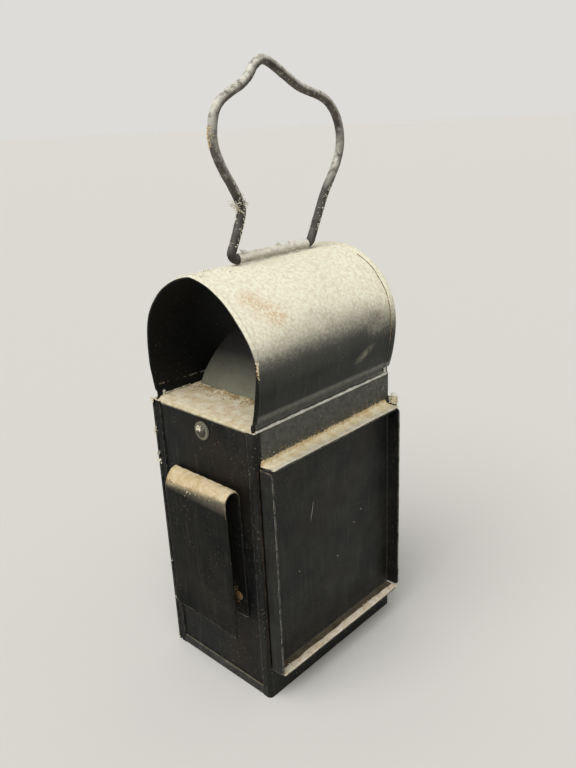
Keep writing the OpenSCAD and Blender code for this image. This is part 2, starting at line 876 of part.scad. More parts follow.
// Pointed wheels whose teeth grip the face of the wick
module spur_wheels() {
    step = 360 / spur_teeth;
    points = [
        for (i = [0 : spur_teeth - 1]) each [
            spur_r * [cos(i * step), sin(i * step)],
            spur_root * [cos((i + 0.5) * step), sin((i + 0.5) * step)]
        ]
    ];
    color("#b0934f") for (x = spur_places())
        translate([x - spur_t / 2, spindle_y, spindle_z])
        rotate([90, 0, 90]) linear_extrude(spur_t) difference() {
            polygon(points);
            circle(spindle_r);
        }
}

module winder_knob() {
    grip_r = PI * knob_r / knob_grips / 2;
    color("#a58b4c") translate([knob_x, spindle_y, spindle_z]) rotate([0, 90, 0])
        difference() {
            cylinder(h = knob_t, r = knob_r);
            translate([0, 0, -slop]) cylinder(h = knob_t + 2 * slop, r = spindle_r);
            for (i = [0 : knob_grips - 1]) rotate([0, 0, i * 360 / knob_grips])
                translate([knob_r + grip_r / 3, 0, -slop])
                cylinder(h = knob_t + 2 * slop, r = grip_r);
        }
}

side_left();
side_right();
back_plate();
front_plate();
base_tray();
hood();
inner_cowl();
handle_sleeve();
bail();
socket_strap();
strap_rivets();
top_rivet();
rivet_washer();
reflector();
door_tray();
door_hinge_leaf();
case_hinge_leaf();
hinge_pin();
door_spring();
window_glass();
glass_channel();
fount();
fount_guides();
filler_collar();
burner();
wick_tube();
wick();
winder_spindle();
spur_wheels();
winder_knob();
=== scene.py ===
import json
import math
import random

import bmesh
import bpy
from mathutils import Matrix, Vector, noise


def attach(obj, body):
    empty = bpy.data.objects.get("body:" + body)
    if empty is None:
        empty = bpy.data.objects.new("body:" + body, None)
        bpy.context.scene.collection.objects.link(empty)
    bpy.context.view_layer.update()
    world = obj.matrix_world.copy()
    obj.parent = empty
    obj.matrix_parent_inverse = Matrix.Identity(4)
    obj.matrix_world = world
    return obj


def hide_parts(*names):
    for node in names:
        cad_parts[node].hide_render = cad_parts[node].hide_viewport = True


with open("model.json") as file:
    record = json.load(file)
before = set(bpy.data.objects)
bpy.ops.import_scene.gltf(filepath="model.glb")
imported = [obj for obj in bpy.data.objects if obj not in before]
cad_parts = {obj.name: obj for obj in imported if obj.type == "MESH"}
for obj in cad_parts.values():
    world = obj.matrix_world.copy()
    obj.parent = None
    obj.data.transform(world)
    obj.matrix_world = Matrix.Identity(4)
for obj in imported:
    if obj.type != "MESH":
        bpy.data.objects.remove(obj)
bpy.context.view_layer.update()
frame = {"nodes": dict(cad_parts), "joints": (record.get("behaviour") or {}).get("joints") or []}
cad = frame["nodes"]
mm = 0.001
pivots = {joint["name"]: [c / mm for c in joint.get("pos_m", ())] for joint in frame["joints"]}
print("frame loaded:", len(cad), "nodes")


# Small sums

def smooth(share):
    share = min(1, max(0, share))
    return share * share * (3 - 2 * share)


def fade(value, low, high):
    return smooth((value - low) / (high - low))


# Perlin noise, about -1 to 1, for places in millimetres
def wobble(place, size, seed=0):
    return noise.noise(Vector(place) / size + Vector((7.3, 3.1, 5.7)) * (seed + 1))


# Straight lines between the pairs of a table
def lookUp(pairs, value):
    if value <= pairs[0][0]:
        return pairs[0][1]
    for (a, first), (b, second) in zip(pairs, pairs[1:]):
        if value <= b:
            return first + (second - first) * (value - a) / (b - a)
    return pairs[-1][1]


def spread(low, high, count):
    return [low + (high - low) * i / (count - 1) for i in range(count)]


# Colours and nodes

# A colour written as sRGB hex, turned to linear and dimmed to a share of itself
def colour(hexText, share=1.0):
    channels = [int(hexText[i:i + 2], 16) / 255 for i in (1, 3, 5)]
    linear = [c / 12.92 if c <= 0.04045 else ((c + 0.055) / 1.055) ** 2.4 for c in channels]
    return (*[c * share for c in linear], 1.0)


# Adds a node: settings by name, inputs by socket name or number.
# A node given as an input means its first output.
def addNode(tree, kind, inputs=None, **settings):
    node = tree.nodes.new(kind)
    for name, value in settings.items():
        setattr(node, name, value)
    for socket, value in (inputs or {}).items():
        if isinstance(value, bpy.types.Node):
            value = value.outputs[0]
        if isinstance(value, bpy.types.NodeSocket):
            tree.links.new(value, node.inputs[socket])
        else:
            node.inputs[socket].default_value = value
    return node


def newTree(name):
    material = bpy.data.materials.new(name)
    material.use_nodes = True
    material.node_tree.nodes.clear()
    return material, material.node_tree


# Soft-edged patches about size millimetres across, 0 to 1
def patches(tree, place, size, low, high, detail=4.0, stretch=(1, 1, 1)):
    scaled = addNode(tree, "ShaderNodeMapping", {"Vector": place, "Scale": stretch})
    cloud = addNode(tree, "ShaderNodeTexNoise",
                    {"Vector": scaled, "Scale": 1 / (size * mm), "Detail": detail, "Roughness": 0.6})
    return addNode(tree, "ShaderNodeMapRange",
                   {"Value": cloud, "From Min": low, "From Max": high},
                   interpolation_type="SMOOTHSTEP").outputs[0]


# Lays one colour over another, as far as all the shares together let it through
def layered(tree, under, over, *shares):
    share = shares[0]
    for other in shares[1:]:
        share = addNode(tree, "ShaderNodeMath", {0: share, 1: other}, operation="MULTIPLY")
    return addNode(tree, "ShaderNodeMix", {0: share, 6: under, 7: over}, data_type="RGBA").outputs[2]


# 1 along edges that a rub would reach, radius in millimetres
def rubbedEdges(tree, radius):
    rounded = addNode(tree, "ShaderNodeBevel", {"Radius": radius * mm}, samples=4)
    sharp = addNode(tree, "ShaderNodeNewGeometry")
    turn = addNode(tree, "ShaderNodeVectorMath", {0: rounded, 1: sharp.outputs["Normal"]},
                   operation="DOT_PRODUCT")
    return addNode(tree, "ShaderNodeMapRange",
                   {"Value": turn.outputs["Value"], "From Min": 0.985, "From Max": 0.86}).outputs[0]


# Materials

# Tinplate stoved with black bitumen japan: satin black, browner where it is thin, rubbed to pale tin at
# edges, with house dust caked on what faces up and a thin film of it on the walls. Sizes are millimetres.
japanLook = {
    "black": "#0d0f0f", "thin": "#191815", "mottle": 38.0, "gloss": 0.5, "dull": 0.95, "shine": 0.2,
    "sheetWave": 0.2, "waveSize": 26.0,
    # Film of grey dust, with runs and pale specks in it
    "filmColour": "#84857c", "film": 0.07, "filmSize": 16.0, "filmRange": (0.3, 0.75), "streak": 0.06,
    "speckSize": 1.2, "speckShare": 0.14,
    # More film in a band: the heights where it comes in, is full, starts to go and is gone, and its share.
    # It may also come in between two sideways slopes, and between two places along y.
    "band": None, "bandFaces": None, "bandAlong": None,
    # Thin dust that grows as the sheet turns upwards; on the hood it is also a painted sheen on the barrel's
    # lower slopes
    "tail": 0.0, "tailColour": "#c2c0b0", "tailSlopes": (-0.12, 0.3),
    # Tin that shows where edges are rubbed, within a radius
    "tin": "#a9a79b", "rub": 0.6, "rubShare": 0.45,
    # Caked dust: the upward slopes where it starts and where it is thick, and how ragged its edge is
    "bare": 0.25, "caked": 0.8, "ragged": 0.2, "raggedSize": 4.0,
    # Two places along y between which it comes to reach further down the sheet, and by how much
    "farReach": None,
    "cream": "#e6dcbf", "tan": "#c8b68e", "dustSize": 5.0, "grit": 0.25,
    "rust": "#a56c3c", "rustSize": 3.5, "rustShare": 0.4,
    # Middles of a rust stain with freckles in it, and the middle of a pale scuff
    "rustSpots": (), "stain": "#e2b482", "freckles": "#b9854f", "scuff": None, "scuffColour": "#8f8c72",
}


def japannedTinplate(name, **changes):
    look = {**japanLook, **changes}
    material, tree = newTree(name)
    where = addNode(tree, "ShaderNodeTexCoord")
    place = where.outputs["Object"]
    facing = addNode(tree, "ShaderNodeSeparateXYZ", {0: where.outputs["Normal"]})
    parts = addNode(tree, "ShaderNodeSeparateXYZ", {0: place})
    slope, height, along = facing.outputs["Z"], parts.outputs["Z"], parts.outputs["Y"]

    ragged = addNode(tree, "ShaderNodeTexNoise",
                     {"Vector": place, "Scale": 1 / (look["raggedSize"] * mm), "Detail": 5.0,
                      "Roughness": 0.65})
    roughSlope = addNode(tree, "ShaderNodeMath", {0: ragged, 1: look["ragged"], 2: slope},
                         operation="MULTIPLY_ADD")
    if look["farReach"]:
        start, end, further = look["farReach"]
        reach = addNode(tree, "ShaderNodeMapRange",
                        {"Value": along, "From Min": start * mm, "From Max": end * mm, "To Max": further})
        roughSlope = addNode(tree, "ShaderNodeMath", {0: roughSlope, 1: reach}, operation="ADD")
    half = look["ragged"] / 2
    caked = addNode(tree, "ShaderNodeMapRange",
                    {"Value": roughSlope, "From Min": look["bare"] + half, "From Max": look["caked"] + half},
                    interpolation_type="SMOOTHSTEP").outputs[0]

    film = colour(look["filmColour"])
    paint = layered(tree, colour(look["black"]), colour(look["thin"]),
                    patches(tree, place, look["mottle"], 0.42, 0.68))
    if look["band"]:
        first, full, last, gone, share = look["band"]
        limits = [(height, first * mm, full * mm), (height, gone * mm, last * mm)]
        if look["bandFaces"]:
            limits.append((facing.outputs["X"], *look["bandFaces"]))
        if look["bandAlong"]:
            limits.append((along, *[y * mm for y in look["bandAlong"]]))
        inBand = [addNode(tree, "ShaderNodeMapRange", {"Value": value, "From Min": low, "From Max": high})
                  for value, low, high in limits]
        paint = layered(tree, paint, film, share, patches(tree, place, 2.5, -0.15, 0.8), *inBand)
    paint = layered(tree, paint, film, look["film"],
                    patches(tree, place, look["filmSize"], *look["filmRange"]))
    # Paler grey as the sheet turns up: thin dust, and on the hood a painted sheen
    low, high = look["tailSlopes"]
    dustAndSheenShare = addNode(tree, "ShaderNodeMapRange",
                     {"Value": slope, "From Min": low, "From Max": high, "To Max": look["tail"]})
    paint = layered(tree, paint, colour(look["tailColour"]), dustAndSheenShare)
    paint = layered(tree, paint, film, look["streak"],
                    patches(tree, place, 2.2, 0.5, 0.8, stretch=(1, 1, 0.1)))
    paint = layered(tree, paint, colour(look["cream"], 0.6), look["speckShare"],
                    patches(tree, place, look["speckSize"], 0.66, 0.72, detail=1.0),
                    patches(tree, place, 22.0, 0.4, 0.6))
    paint = layered(tree, paint, colour(look["tin"]), look["rubShare"], rubbedEdges(tree, look["rub"]),
                    patches(tree, place, 3.0, 0.35, 0.6))
    if look["scuff"]:
        # About 16 mm long, slanting up along the barrel
        slanted = addNode(tree, "ShaderNodeMapping",
                          {"Vector": place, "Location": [c * mm for c in look["scuff"]],
                           "Rotation": (math.radians(24.5), 0, 0), "Scale": (6 * mm, 8 * mm, 2.4 * mm)},
                          vector_type="TEXTURE")
        away = addNode(tree, "ShaderNodeVectorMath", {0: slanted}, operation="LENGTH").outputs["Value"]
        scuffed = addNode(tree, "ShaderNodeMapRange", {"Value": away, "From Min": 1.2, "From Max": 0.1})
        paint = layered(tree, paint, colour(look["scuffColour"]), scuffed, 0.75,
                        patches(tree, place, 3.0, 0.2, 0.6))

    dust = layered(tree, colour(look["cream"]), colour(look["tan"]),
                   patches(tree, place, look["dustSize"], 0.35, 0.7))
    dust = layered(tree, dust, colour(look["rust"]), look["rustShare"],
                   patches(tree, place, look["rustSize"], 0.55, 0.68, detail=6.0),
                   patches(tree, place, 24.0, 0.45, 0.6))
    if look["rustSpots"]:
        nearest = 1.0
        for centre in look["rustSpots"]:
            away = addNode(tree, "ShaderNodeVectorMath", {0: place, 1: [c * mm for c in centre]},
                           operation="DISTANCE").outputs["Value"]
            nearest = addNode(tree, "ShaderNodeMath", {0: nearest, 1: away}, operation="MINIMUM")
        spot = addNode(tree, "ShaderNodeMapRange",
                       {"Value": nearest, "From Min": 8 * mm, "From Max": 1.5 * mm})
        dust = layered(tree, dust, colour(look["stain"]), spot, 0.6, patches(tree, place, 2.4, 0.3, 0.65))
        dust = layered(tree, dust, colour(look["freckles"]), spot, 0.8,
                       patches(tree, place, 1.1, 0.5, 0.72, detail=3.0))
    surface = layered(tree, paint, dust, caked)

    roughness = addNode(tree, "ShaderNodeMapRange",
                        {"Value": caked, "To Min": look["gloss"], "To Max": look["dull"]})
    wave = addNode(tree, "ShaderNodeTexNoise",
                   {"Vector": place, "Scale": 1 / (look["waveSize"] * mm), "Detail": 2.0})
    sheet = addNode(tree, "ShaderNodeBump",
                    {"Height": wave, "Strength": 1.0, "Distance": look["sheetWave"] * mm})
    # Real grit is a tenth of a millimetre, too fine to show, so it is drawn 0.9 mm across
    grit = addNode(tree, "ShaderNodeTexNoise", {"Vector": place, "Scale": 1 / (0.9 * mm), "Detail": 4.0})
    grit = addNode(tree, "ShaderNodeMath", {0: grit, 1: caked}, operation="MULTIPLY")
    gritty = addNode(tree, "ShaderNodeBump",
                     {"Height": grit, "Strength": 0.9, "Distance": look["grit"] * mm, "Normal": sheet})
    shader = addNode(tree, "ShaderNodeBsdfPrincipled",
                     {"Base Color": surface, "Roughness": roughness, "Normal": gritty, "IOR": 1.5,
                      "Specular IOR Level": look["shine"]})
    addNode(tree, "ShaderNodeOutputMaterial", {"Surface": shader})
    return material


# House dust, settled and caked: dead matt cream grit with rust grains shaken off the tinplate.
# Its grains are drawn 0.5 to 0.7 mm across, coarser than they are, so that they show.
dustLook = {
    "cream": "#dccfae", "tan": "#b8a27a", "rust": "#a5682f", "dark": "#5d5240", "rustShare": 0.55,
    "rustSize": 4.0, "pitShare": 0.4, "grain": 0.7, "rise": 0.3,
}


def cakedDust(name, **changes):
    look = {**dustLook, **changes}
    material, tree = newTree(name)
    place = addNode(tree, "ShaderNodeTexCoord").outputs["Object"]
    base = layered(tree, colour(look["cream"]), colour(look["tan"]), patches(tree, place, 6.0, 0.35, 0.7))
    base = layered(tree, base, colour(look["rust"]), look["rustShare"],
                   patches(tree, place, look["rustSize"], 0.5, 0.66, detail=6.0))
    base = layered(tree, base, colour(look["dark"]), look["pitShare"],
                   patches(tree, place, 1.1, 0.6, 0.72, detail=2.0))
    grains = addNode(tree, "ShaderNodeTexNoise",
                     {"Vector": place, "Scale": 1 / (look["grain"] * mm), "Detail": 5.0})
    bump = addNode(tree, "ShaderNodeBump",
                   {"Height": grains, "Strength": 1.0, "Distance": look["rise"] * mm})
    shader = addNode(tree, "ShaderNodeBsdfPrincipled",
                     {"Base Color": base, "Roughness": 1.0, "Normal": bump, "Specular IOR Level": 0.1})
    addNode(tree, "ShaderNodeOutputMaterial", {"Surface": shader})
    return material


# Metal left bare in a damp shed, whether rolled, drawn or cast: its sheen lies under dull clouds of oxide,
# with pale dust in its pits and on what faces up, which on the solder and the wire also paints the light on
# top, and soot over the flame, which on the cowl is also painted shade under the hood. Sizes are millimetres.
metalLook = {
    "oxideSize": 6.0, "oxideShare": 0.7, "oxideSheen": 0.2, "oxideRoughness": 0.85,
    "pitSize": 0.8, "pitDepth": 0.08, "paleShare": 0.3,
    # Dust on top, which on the solder and the wire also paints the light on their tops: its share, and the
    # upward slopes where it starts and is full
    "upDust": 0.0, "upDustAndLightSlopes": (-0.2, 0.45),
    # The heights between which smoke blackens it, and how much; on the cowl this darkening is also painted
    # shade under the hood
    "soot": None, "sootShare": 1.0, "darkeningColour": "#1d1b18",
}


# The colours are the clean metal, its oxide and the dust on it; on top of the solder and the wire the dust
# colour also paints the light
def weatheredMetal(name, metal, oxide, pale, metallic, roughness, **changes):
    look = {**metalLook, **changes}
    material, tree = newTree(name)
    where = addNode(tree, "ShaderNodeTexCoord")
    place = where.outputs["Object"]
    clouds = patches(tree, place, look["oxideSize"], 0.35, 0.65, detail=6.0)
    dull = addNode(tree, "ShaderNodeMath", {0: clouds, 1: look["oxideShare"]}, operation="MULTIPLY")
    base = layered(tree, colour(metal), colour(oxide), dull)
    base = layered(tree, base, colour(pale), look["paleShare"],
                   patches(tree, place, 2.5, 0.5, 0.7, detail=5.0))
    slope = addNode(tree, "ShaderNodeSeparateXYZ", {0: where.outputs["Normal"]}).outputs["Z"]
    # Pale on what faces up: dust, and on the solder and the wire also a painted highlight
    low, high = look["upDustAndLightSlopes"]
    upward = addNode(tree, "ShaderNodeMapRange", {"Value": slope, "From Min": low, "From Max": high})
    upDustAndLightShares = [look["upDust"], upward, patches(tree, place, 3.0, 0.2, 0.6)]
    # Darker between two heights: soot, and on the cowl also painted shade under the hood
    if look["soot"]:
        height = addNode(tree, "ShaderNodeSeparateXYZ", {0: place}).outputs["Z"]
        clean, black = look["soot"]
        heightDarkening = addNode(tree, "ShaderNodeMapRange",
                         {"Value": height, "From Min": clean * mm, "From Max": black * mm})
        base = layered(tree, base, colour(look["darkeningColour"]), heightDarkening, look["sootShare"])
        upDustAndLightShares.append(addNode(tree, "ShaderNodeMapRange", {"Value": heightDarkening, "To Min": 1.0, "To Max": 0.1}))
    base = layered(tree, base, colour(pale), *upDustAndLightShares)
    shine = addNode(tree, "ShaderNodeMapRange",
                    {"Value": dull, "To Min": metallic, "To Max": metallic * look["oxideSheen"]})
    matt = addNode(tree, "ShaderNodeMapRange",
                   {"Value": dull, "To Min": roughness, "To Max": look["oxideRoughness"]})
    pits = addNode(tree, "ShaderNodeTexNoise",
                   {"Vector": place, "Scale": 1 / (look["pitSize"] * mm), "Detail": 4.0})
    bump = addNode(tree, "ShaderNodeBump",
                   {"Height": pits, "Strength": 1.0, "Distance": look["pitDepth"] * mm})
    shader = addNode(tree, "ShaderNodeBsdfPrincipled",
                     {"Base Color": base, "Metallic": shine, "Roughness": matt, "Normal": bump})
    addNode(tree, "ShaderNodeOutputMaterial", {"Surface": shader})
    return material


# Drawn sheet glass, old and smoky: clear with faint waves and a grey film
def sheetGlass():
    material, tree = newTree("drawnSheetGlass")
    place = addNode(tree, "ShaderNodeTexCoord").outputs["Object"]
    haze = addNode(tree, "ShaderNodeMapRange",
                   {"Value": patches(tree, place, 18.0, 0.4, 0.8), "To Min": 0.03, "To Max": 0.3})
    wave = addNode(tree, "ShaderNodeTexNoise", {"Vector": place, "Scale": 1 / (22 * mm), "Detail": 1.0})
    bump = addNode(tree, "ShaderNodeBump", {"Height": wave, "Strength": 0.5, "Distance": 0.3 * mm})
    shader = addNode(tree, "ShaderNodeBsdfPrincipled",
                     {"Base Color": colour("#dfe6e0"), "Roughness": haze, "IOR": 1.52,
                      "Transmission Weight": 1.0, "Normal": bump})
    addNode(tree, "ShaderNodeOutputMaterial", {"Surface": shader})
    return material


# Plaited cotton wick: soft off-white threads, charred at the top. They lie 0.6 mm apart and are drawn
# 2.28 mm apart to show.
def plaitedCotton():
    material, tree = newTree("plaitedCotton")
    place = addNode(tree, "ShaderNodeTexCoord").outputs["Object"]
    # Diagonal bands have 10 radians to the unit along each axis
    threadScale = math.tau / (10 * math.sqrt(3) * 2.28 * mm)
    threads = addNode(tree, "ShaderNodeTexWave", {"Vector": place, "Scale": threadScale, "Distortion": 1.5},
                      bands_direction="DIAGONAL").outputs["Fac"]
    height = addNode(tree, "ShaderNodeSeparateXYZ", {0: place}).outputs["Z"]
    charred = addNode(tree, "ShaderNodeMapRange",
                      {"Value": height, "From Min": 63 * mm, "From Max": 66 * mm},
                      interpolation_type="SMOOTHSTEP")
    base = layered(tree, colour("#a79a7c"), colour("#d8ccb0"), threads)
    base = layered(tree, base, colour("#1b1714"), charred)
    bump = addNode(tree, "ShaderNodeBump", {"Height": threads, "Distance": 0.2 * mm})
    shader = addNode(tree, "ShaderNodeBsdfPrincipled",
                     {"Base Color": base, "Roughness": 0.95, "Normal": bump, "Sheen Weight": 0.3})
    addNode(tree, "ShaderNodeOutputMaterial", {"Surface": shader})
    return material


finishes = {
    # Japan, cleaner or dustier by piece
    "soot": japannedTinplate("sootedJapannedTinplate", black="#0a0b0a", thin="#11100e", film=0.03,
                             filmColour="#4b473c", bare=1.2, caked=1.6, speckShare=0.1, rubShare=0.3,
                             gloss=0.6, streak=0.03),
    "case": japannedTinplate("japannedTinplateCase", thin="#1d1711", film=0.03, shine=0.12),
    # Blacker japan, on the plain side and, as painted shade, on the hood's near hem
    "seam": japannedTinplate("japannedTinplateSeamAndShade", black="#080909", film=0.02, streak=0.03, shine=0.12),
    "side": japannedTinplate("japannedTinplateSide", film=0.035, speckShare=0.35, shine=0.15,
                             band=(122, 134, 160, 161, 0.42), bandFaces=(0.4, 0.8), bandAlong=(-48.2, -47.4)),
    "tray": japannedTinplate("japannedTinplateTray", film=0.16, thin="#24211c", speckShare=0.5, bare=0.7,
                             caked=1.8, rubShare=0.35),
    # The hood's tail is thin dust and a painted sheen where the barrel turns up
    "hood": japannedTinplate("japannedTinplateHood", black="#131614", thin="#191a17", film=0.04, streak=0.09,
                             speckShare=0.12, tail=0.22, gloss=0.42, bare=0.03, caked=0.6, ragged=0.3,
                             raggedSize=1.3, farReach=(18.0, 48.0, 0.17), cream="#fffce6", tan="#eae0c4",
                             dustSize=1.7, grit=0.16, rust="#c79a68", rustShare=0.24, rustSize=2.4,
                             rustSpots=((25.0, -37.0, 208.4), (29.0, -33.0, 204.6), (33.0, -29.0, 199.8)),
                             # Its band is a paler grey strip low on the skirt, just above the crease
                             scuff=(39, 26, 168), band=(149.0, 156.0, 156.7, 158.2, 0.65)),
    "strap": japannedTinplate("japannedTinplateStrap", film=0.025, filmColour="#948c79", shine=0.08,
                              gloss=0.6, bare=0.06, caked=0.62, ragged=0.32, raggedSize=1.2,
                              cream="#d9c8a4", tan="#bca57c", band=(107, 113, 130, 131, 0.65)),
    "door": japannedTinplate("japannedTinplateDoor", film=0.06, speckShare=0.4, speckSize=0.9, rubShare=0.9,
                             bare=0.6, caked=1.7, cream="#a08f72", tan="#7f6d53",
                             band=(17.0, 18.0, 19.5, 26.0, 0.14), bandFaces=(0.4, 0.8)),
    "hinge": japannedTinplate("japannedTinplateHinge", rubShare=0.7),
    # Dust and dirt, by where it lies
    "dust": cakedDust("cakedDustShelf", cream="#f3e9cd", tan="#e1d0a8", rust="#cf9562", rustShare=0.45,
                      pitShare=0.25),
    "flangeDust": cakedDust("cakedDustFlange", cream="#f3e8c8", tan="#e2cfa2", rust="#c88c55",
                            rustShare=0.25, pitShare=0.3),
    "coolDust": cakedDust("cakedDustLip", cream="#e6dfca", tan="#cfc5a8", rustShare=0.1, pitShare=0.5),
    "lowDust": cakedDust("cakedDustLowerStrip", cream="#f8ecd6", tan="#dfcdae", rustShare=0.22),
    "creaseDust": cakedDust("cakedDustCrease", cream="#7d786a", tan="#5c584c", rustShare=0.1),
    "gapDirt": cakedDust("packedDirt", cream="#322c25", tan="#221f1a", rust="#60432a", rustShare=0.25),
    "hemDust": cakedDust("rustyDustHem", cream="#a98f6c", tan="#7d6244", rust="#6b4426", rustShare=0.5),
    "fringeDust": cakedDust("rustyDustFringe", cream="#e3cfa8", tan="#d0b588", rust="#b98550", rustShare=0.35,
                            rustSize=1.6, pitShare=0.5, grain=0.5),
    "sideDirt": cakedDust("dampDirtSide", cream="#a69a7e", tan="#857659", rust="#7a5a38", rustShare=0.4,
                          rustSize=1.6, pitShare=0.5, grain=0.5),
    "footDirt": cakedDust("rustyDustCowlFoot", cream="#cbb88f", tan="#a98f66", rust="#9c6f40", rustShare=0.45,
                          rustSize=1.8, pitShare=0.3, grain=0.5),
    "rollDust": cakedDust("cakedDustRoll", cream="#e2d1ae", tan="#cbb387", rust="#c08c58", rustShare=0.4,
                          pitShare=0.35),
    "rollFringe": cakedDust("cakedDustRollEdge", cream="#a3937a", tan="#7d6e57", rust="#7c5c3c",
                            rustShare=0.4, rustSize=1.6, pitShare=0.6, grain=0.5),
    "paleGrit": cakedDust("paleFlakes", cream="#fbf8ee", tan="#eee8d6", rustShare=0.0, pitShare=0.0),
    # Grey-white along the side sheets' top edges: dust, and a painted highlight
    "ledgeDustAndHighlight": cakedDust("cakedDustAndHighlightLedge", cream="#dedcd2", tan="#bdbbae", rustShare=0.08),
    "grit": cakedDust("cakedDustGrit", cream="#f0ead6", tan="#ddd2b2", rustShare=0.12, pitShare=0.1),
    "fluff": cakedDust("cobwebFluff", cream="#efe9da", tan="#d2c8b0", rustShare=0.05),
    # Tinplate, rolled and dipped: a soft grey mirror that clouds with age, blackened over the flame by soot
    # and, on the cowl, by painted shade under the hood
    "tin": weatheredMetal("rolledBareTinplate", "#a9a89c", "#85826f", "#b5ac93", 0.85, 0.38,
                          oxideSize=11.0, oxideShare=0.6, paleShare=0.15, pitDepth=0.02),
    # The cowl darkens upwards from 152 to 171 mm: soot, and painted shade under the hood
    "cowl": weatheredMetal("dulledTinplateCowl", "#888877", "#757466", "#ab9f82", 0.15, 0.65,
                           oxideSize=14.0, pitDepth=0.04, soot=(152.0, 171.0)),
    "blacktin": weatheredMetal("sootedTinplate", "#55554e", "#2f2f2b", "#6d6a5c", 0.4, 0.5),
    "bright": weatheredMetal("polishedTinReflector", "#c3c3bd", "#908d7e", "#a79f88", 1.0, 0.2,
                             oxideSize=16.0, oxideShare=0.35, paleShare=0.08, pitDepth=0.01),
    # Soft solder, run on by hand: pale lumpy grey with dust caught in it, paler on top as dust and as painted
    # light
    "solder": weatheredMetal("softSolderRun", "#b9b6aa", "#8f8b7e", "#f2eee0", 0.15, 0.6, paleShare=0.5,
                             upDust=0.9),
    "pin": weatheredMetal("drawnWirePinTinned", "#e2dfd4", "#cdc8b9", "#f2efe6", 0.15, 0.5),
    # Iron wire, drawn and rusted: dark brown scale with deep pits, blacker down its legs, with pale dust on
    # top that also paints the highlights along its upper edges
    "wire": weatheredMetal("drawnIronWireRusted", "#57524a", "#2a251e", "#dedacd", 0.2, 0.6,
                           oxideSize=5.0, oxideShare=0.9, pitSize=1.2, pitDepth=0.2, upDust=1.0,
                           soot=(262, 246), sootShare=0.85),
    # Forged rivets, black or red with rust, and a stamped zinc washer, dull pale grey
    "rivet": weatheredMetal("forgedIronRivet", "#45423a", "#2b2720", "#b9ad8d", 0.2, 0.6, paleShare=0.25),
    "rust": weatheredMetal("rustedIronRivet", "#8b6b45", "#5e4429", "#a98c62", 0.05, 0.85),
    "washer": weatheredMetal("stampedZincWasher", "#7d7a6e", "#66634f", "#a7a18a", 0.2, 0.6, upDust=0.1),
    # Brass, spun and turned: warm yellow sheen gone brown in patches
    "brass": weatheredMetal("spunBrassTarnished", "#a98a4b", "#6c5a32", "#8f8360", 0.95, 0.35,
                            oxideSize=5.0, oxideShare=0.6, paleShare=0.1, pitDepth=0.02),
    "glass": sheetGlass(),
    "cotton": plaitedCotton(),
}

nodeFinish = {
    "side_left": "seam", "side_right": "side", "back_plate": "case", "front_plate": "case",
    "base_tray": "tray", "hood": "hood", "inner_cowl": "cowl", "handle_sleeve": "solder", "bail": "wire",
    "socket_strap": "strap", "strap_rivets": "rust", "top_rivet": "rivet", "rivet_washer": "washer",
    "reflector": "bright", "door_tray": "door", "door_hinge_leaf": "hinge", "case_hinge_leaf": "hinge",
    "hinge_pin": "pin", "door_spring": "tin", "window_glass": "glass", "glass_channel": "blacktin",
    "fount": "tin", "fount_guides": "blacktin", "filler_collar": "brass", "burner": "brass",
    "wick_tube": "brass", "wick": "cotton", "winder_spindle": "brass", "spur_wheels": "brass",
    "winder_knob": "brass",
}
for name, node in cad.items():
    node.data.materials.clear()
    node.data.materials.append(finishes[nodeFinish[name]])
print("materials made:", len(finishes))


# Mesh making. Everything is drawn in millimetres in the lamp's own frame.

# others are more finishes, each with a test of a face's middle and normal that says where it goes
def addPiece(name, points, faces, finish, body="case", slot="worn_tin", stands=(), sharp=38, others=()):
    mesh = bpy.data.meshes.new(name)
    mesh.from_pydata([[c * mm for c in p] for p in points], [], faces)
    work = bmesh.new()
    work.from_mesh(mesh)
    bmesh.ops.recalc_face_normals(work, faces=work.faces)
    work.to_mesh(mesh)
    work.free()
    mesh.shade_smooth()
    mesh.set_sharp_from_angle(angle=math.radians(sharp))
    mesh.materials.append(finishes[finish])
    for i, (other, test) in enumerate(others, 1):
        mesh.materials.append(finishes[other])
        for face in mesh.polygons:
            if test(face.center / mm, face.normal):
                face.material_index = i
    piece = bpy.data.objects.new(name, mesh)
    bpy.context.scene.collection.objects.link(piece)
    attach(piece, body)
    if stands:
        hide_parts(*stands)
    return piece


# Skin over closed loops of equal length; ring joins the last loop to the first, else both ends are capped
def loopFaces(count, size, ring=False, first=0):
    faces = []
    for i in range(count if ring else count - 1):
        a, b = first + i * size, first + (i + 1) % count * size
        for j in range(size):
            k = (j + 1) % size
            faces.append((a + j, a + k, b + k, b + j))
    if not ring:
        faces.append(tuple(range(first, first + size)))
        last = first + (count - 1) * size
        faces.append(tuple(range(last + size - 1, last - 1, -1)))
    return faces


# Several closed bodies in one piece: each is a list of loops
def addBodies(name, bodies, finish, ring=False, **rest):
    points, faces = [], []
    for loops in bodies:
        faces += loopFaces(len(loops), len(loops[0]), ring, len(points))
        points += [p for loop in loops for p in loop]
    addPiece(name, points, faces, finish, **rest)


# Rounded rectangle about the lamp's axis, with so many points round each corner
def roundedRing(halfX, halfY, corner, steps):
    ring = []
    for signX, signY, first in ((1, 1, 0), (-1, 1, 90), (-1, -1, 180), (1, -1, 270)):
        for turn in spread(math.radians(first), math.radians(first + 90), steps):
            ring.append((signX * (halfX - corner) + corner * math.cos(turn),
                         signY * (halfY - corner) + corner * math.sin(turn)))
    return ring


# Cuts each side of a closed ring into as many parts as parts says for its length
def cutUp(ring, parts):
    full = []
    for (ax, ay), (bx, by) in zip(ring, ring[1:] + ring[:1]):
        count = parts(math.hypot(bx - ax, by - ay))
        full += [(ax + (bx - ax) * k / count, ay + (by - ay) * k / count) for k in range(count)]
    return full


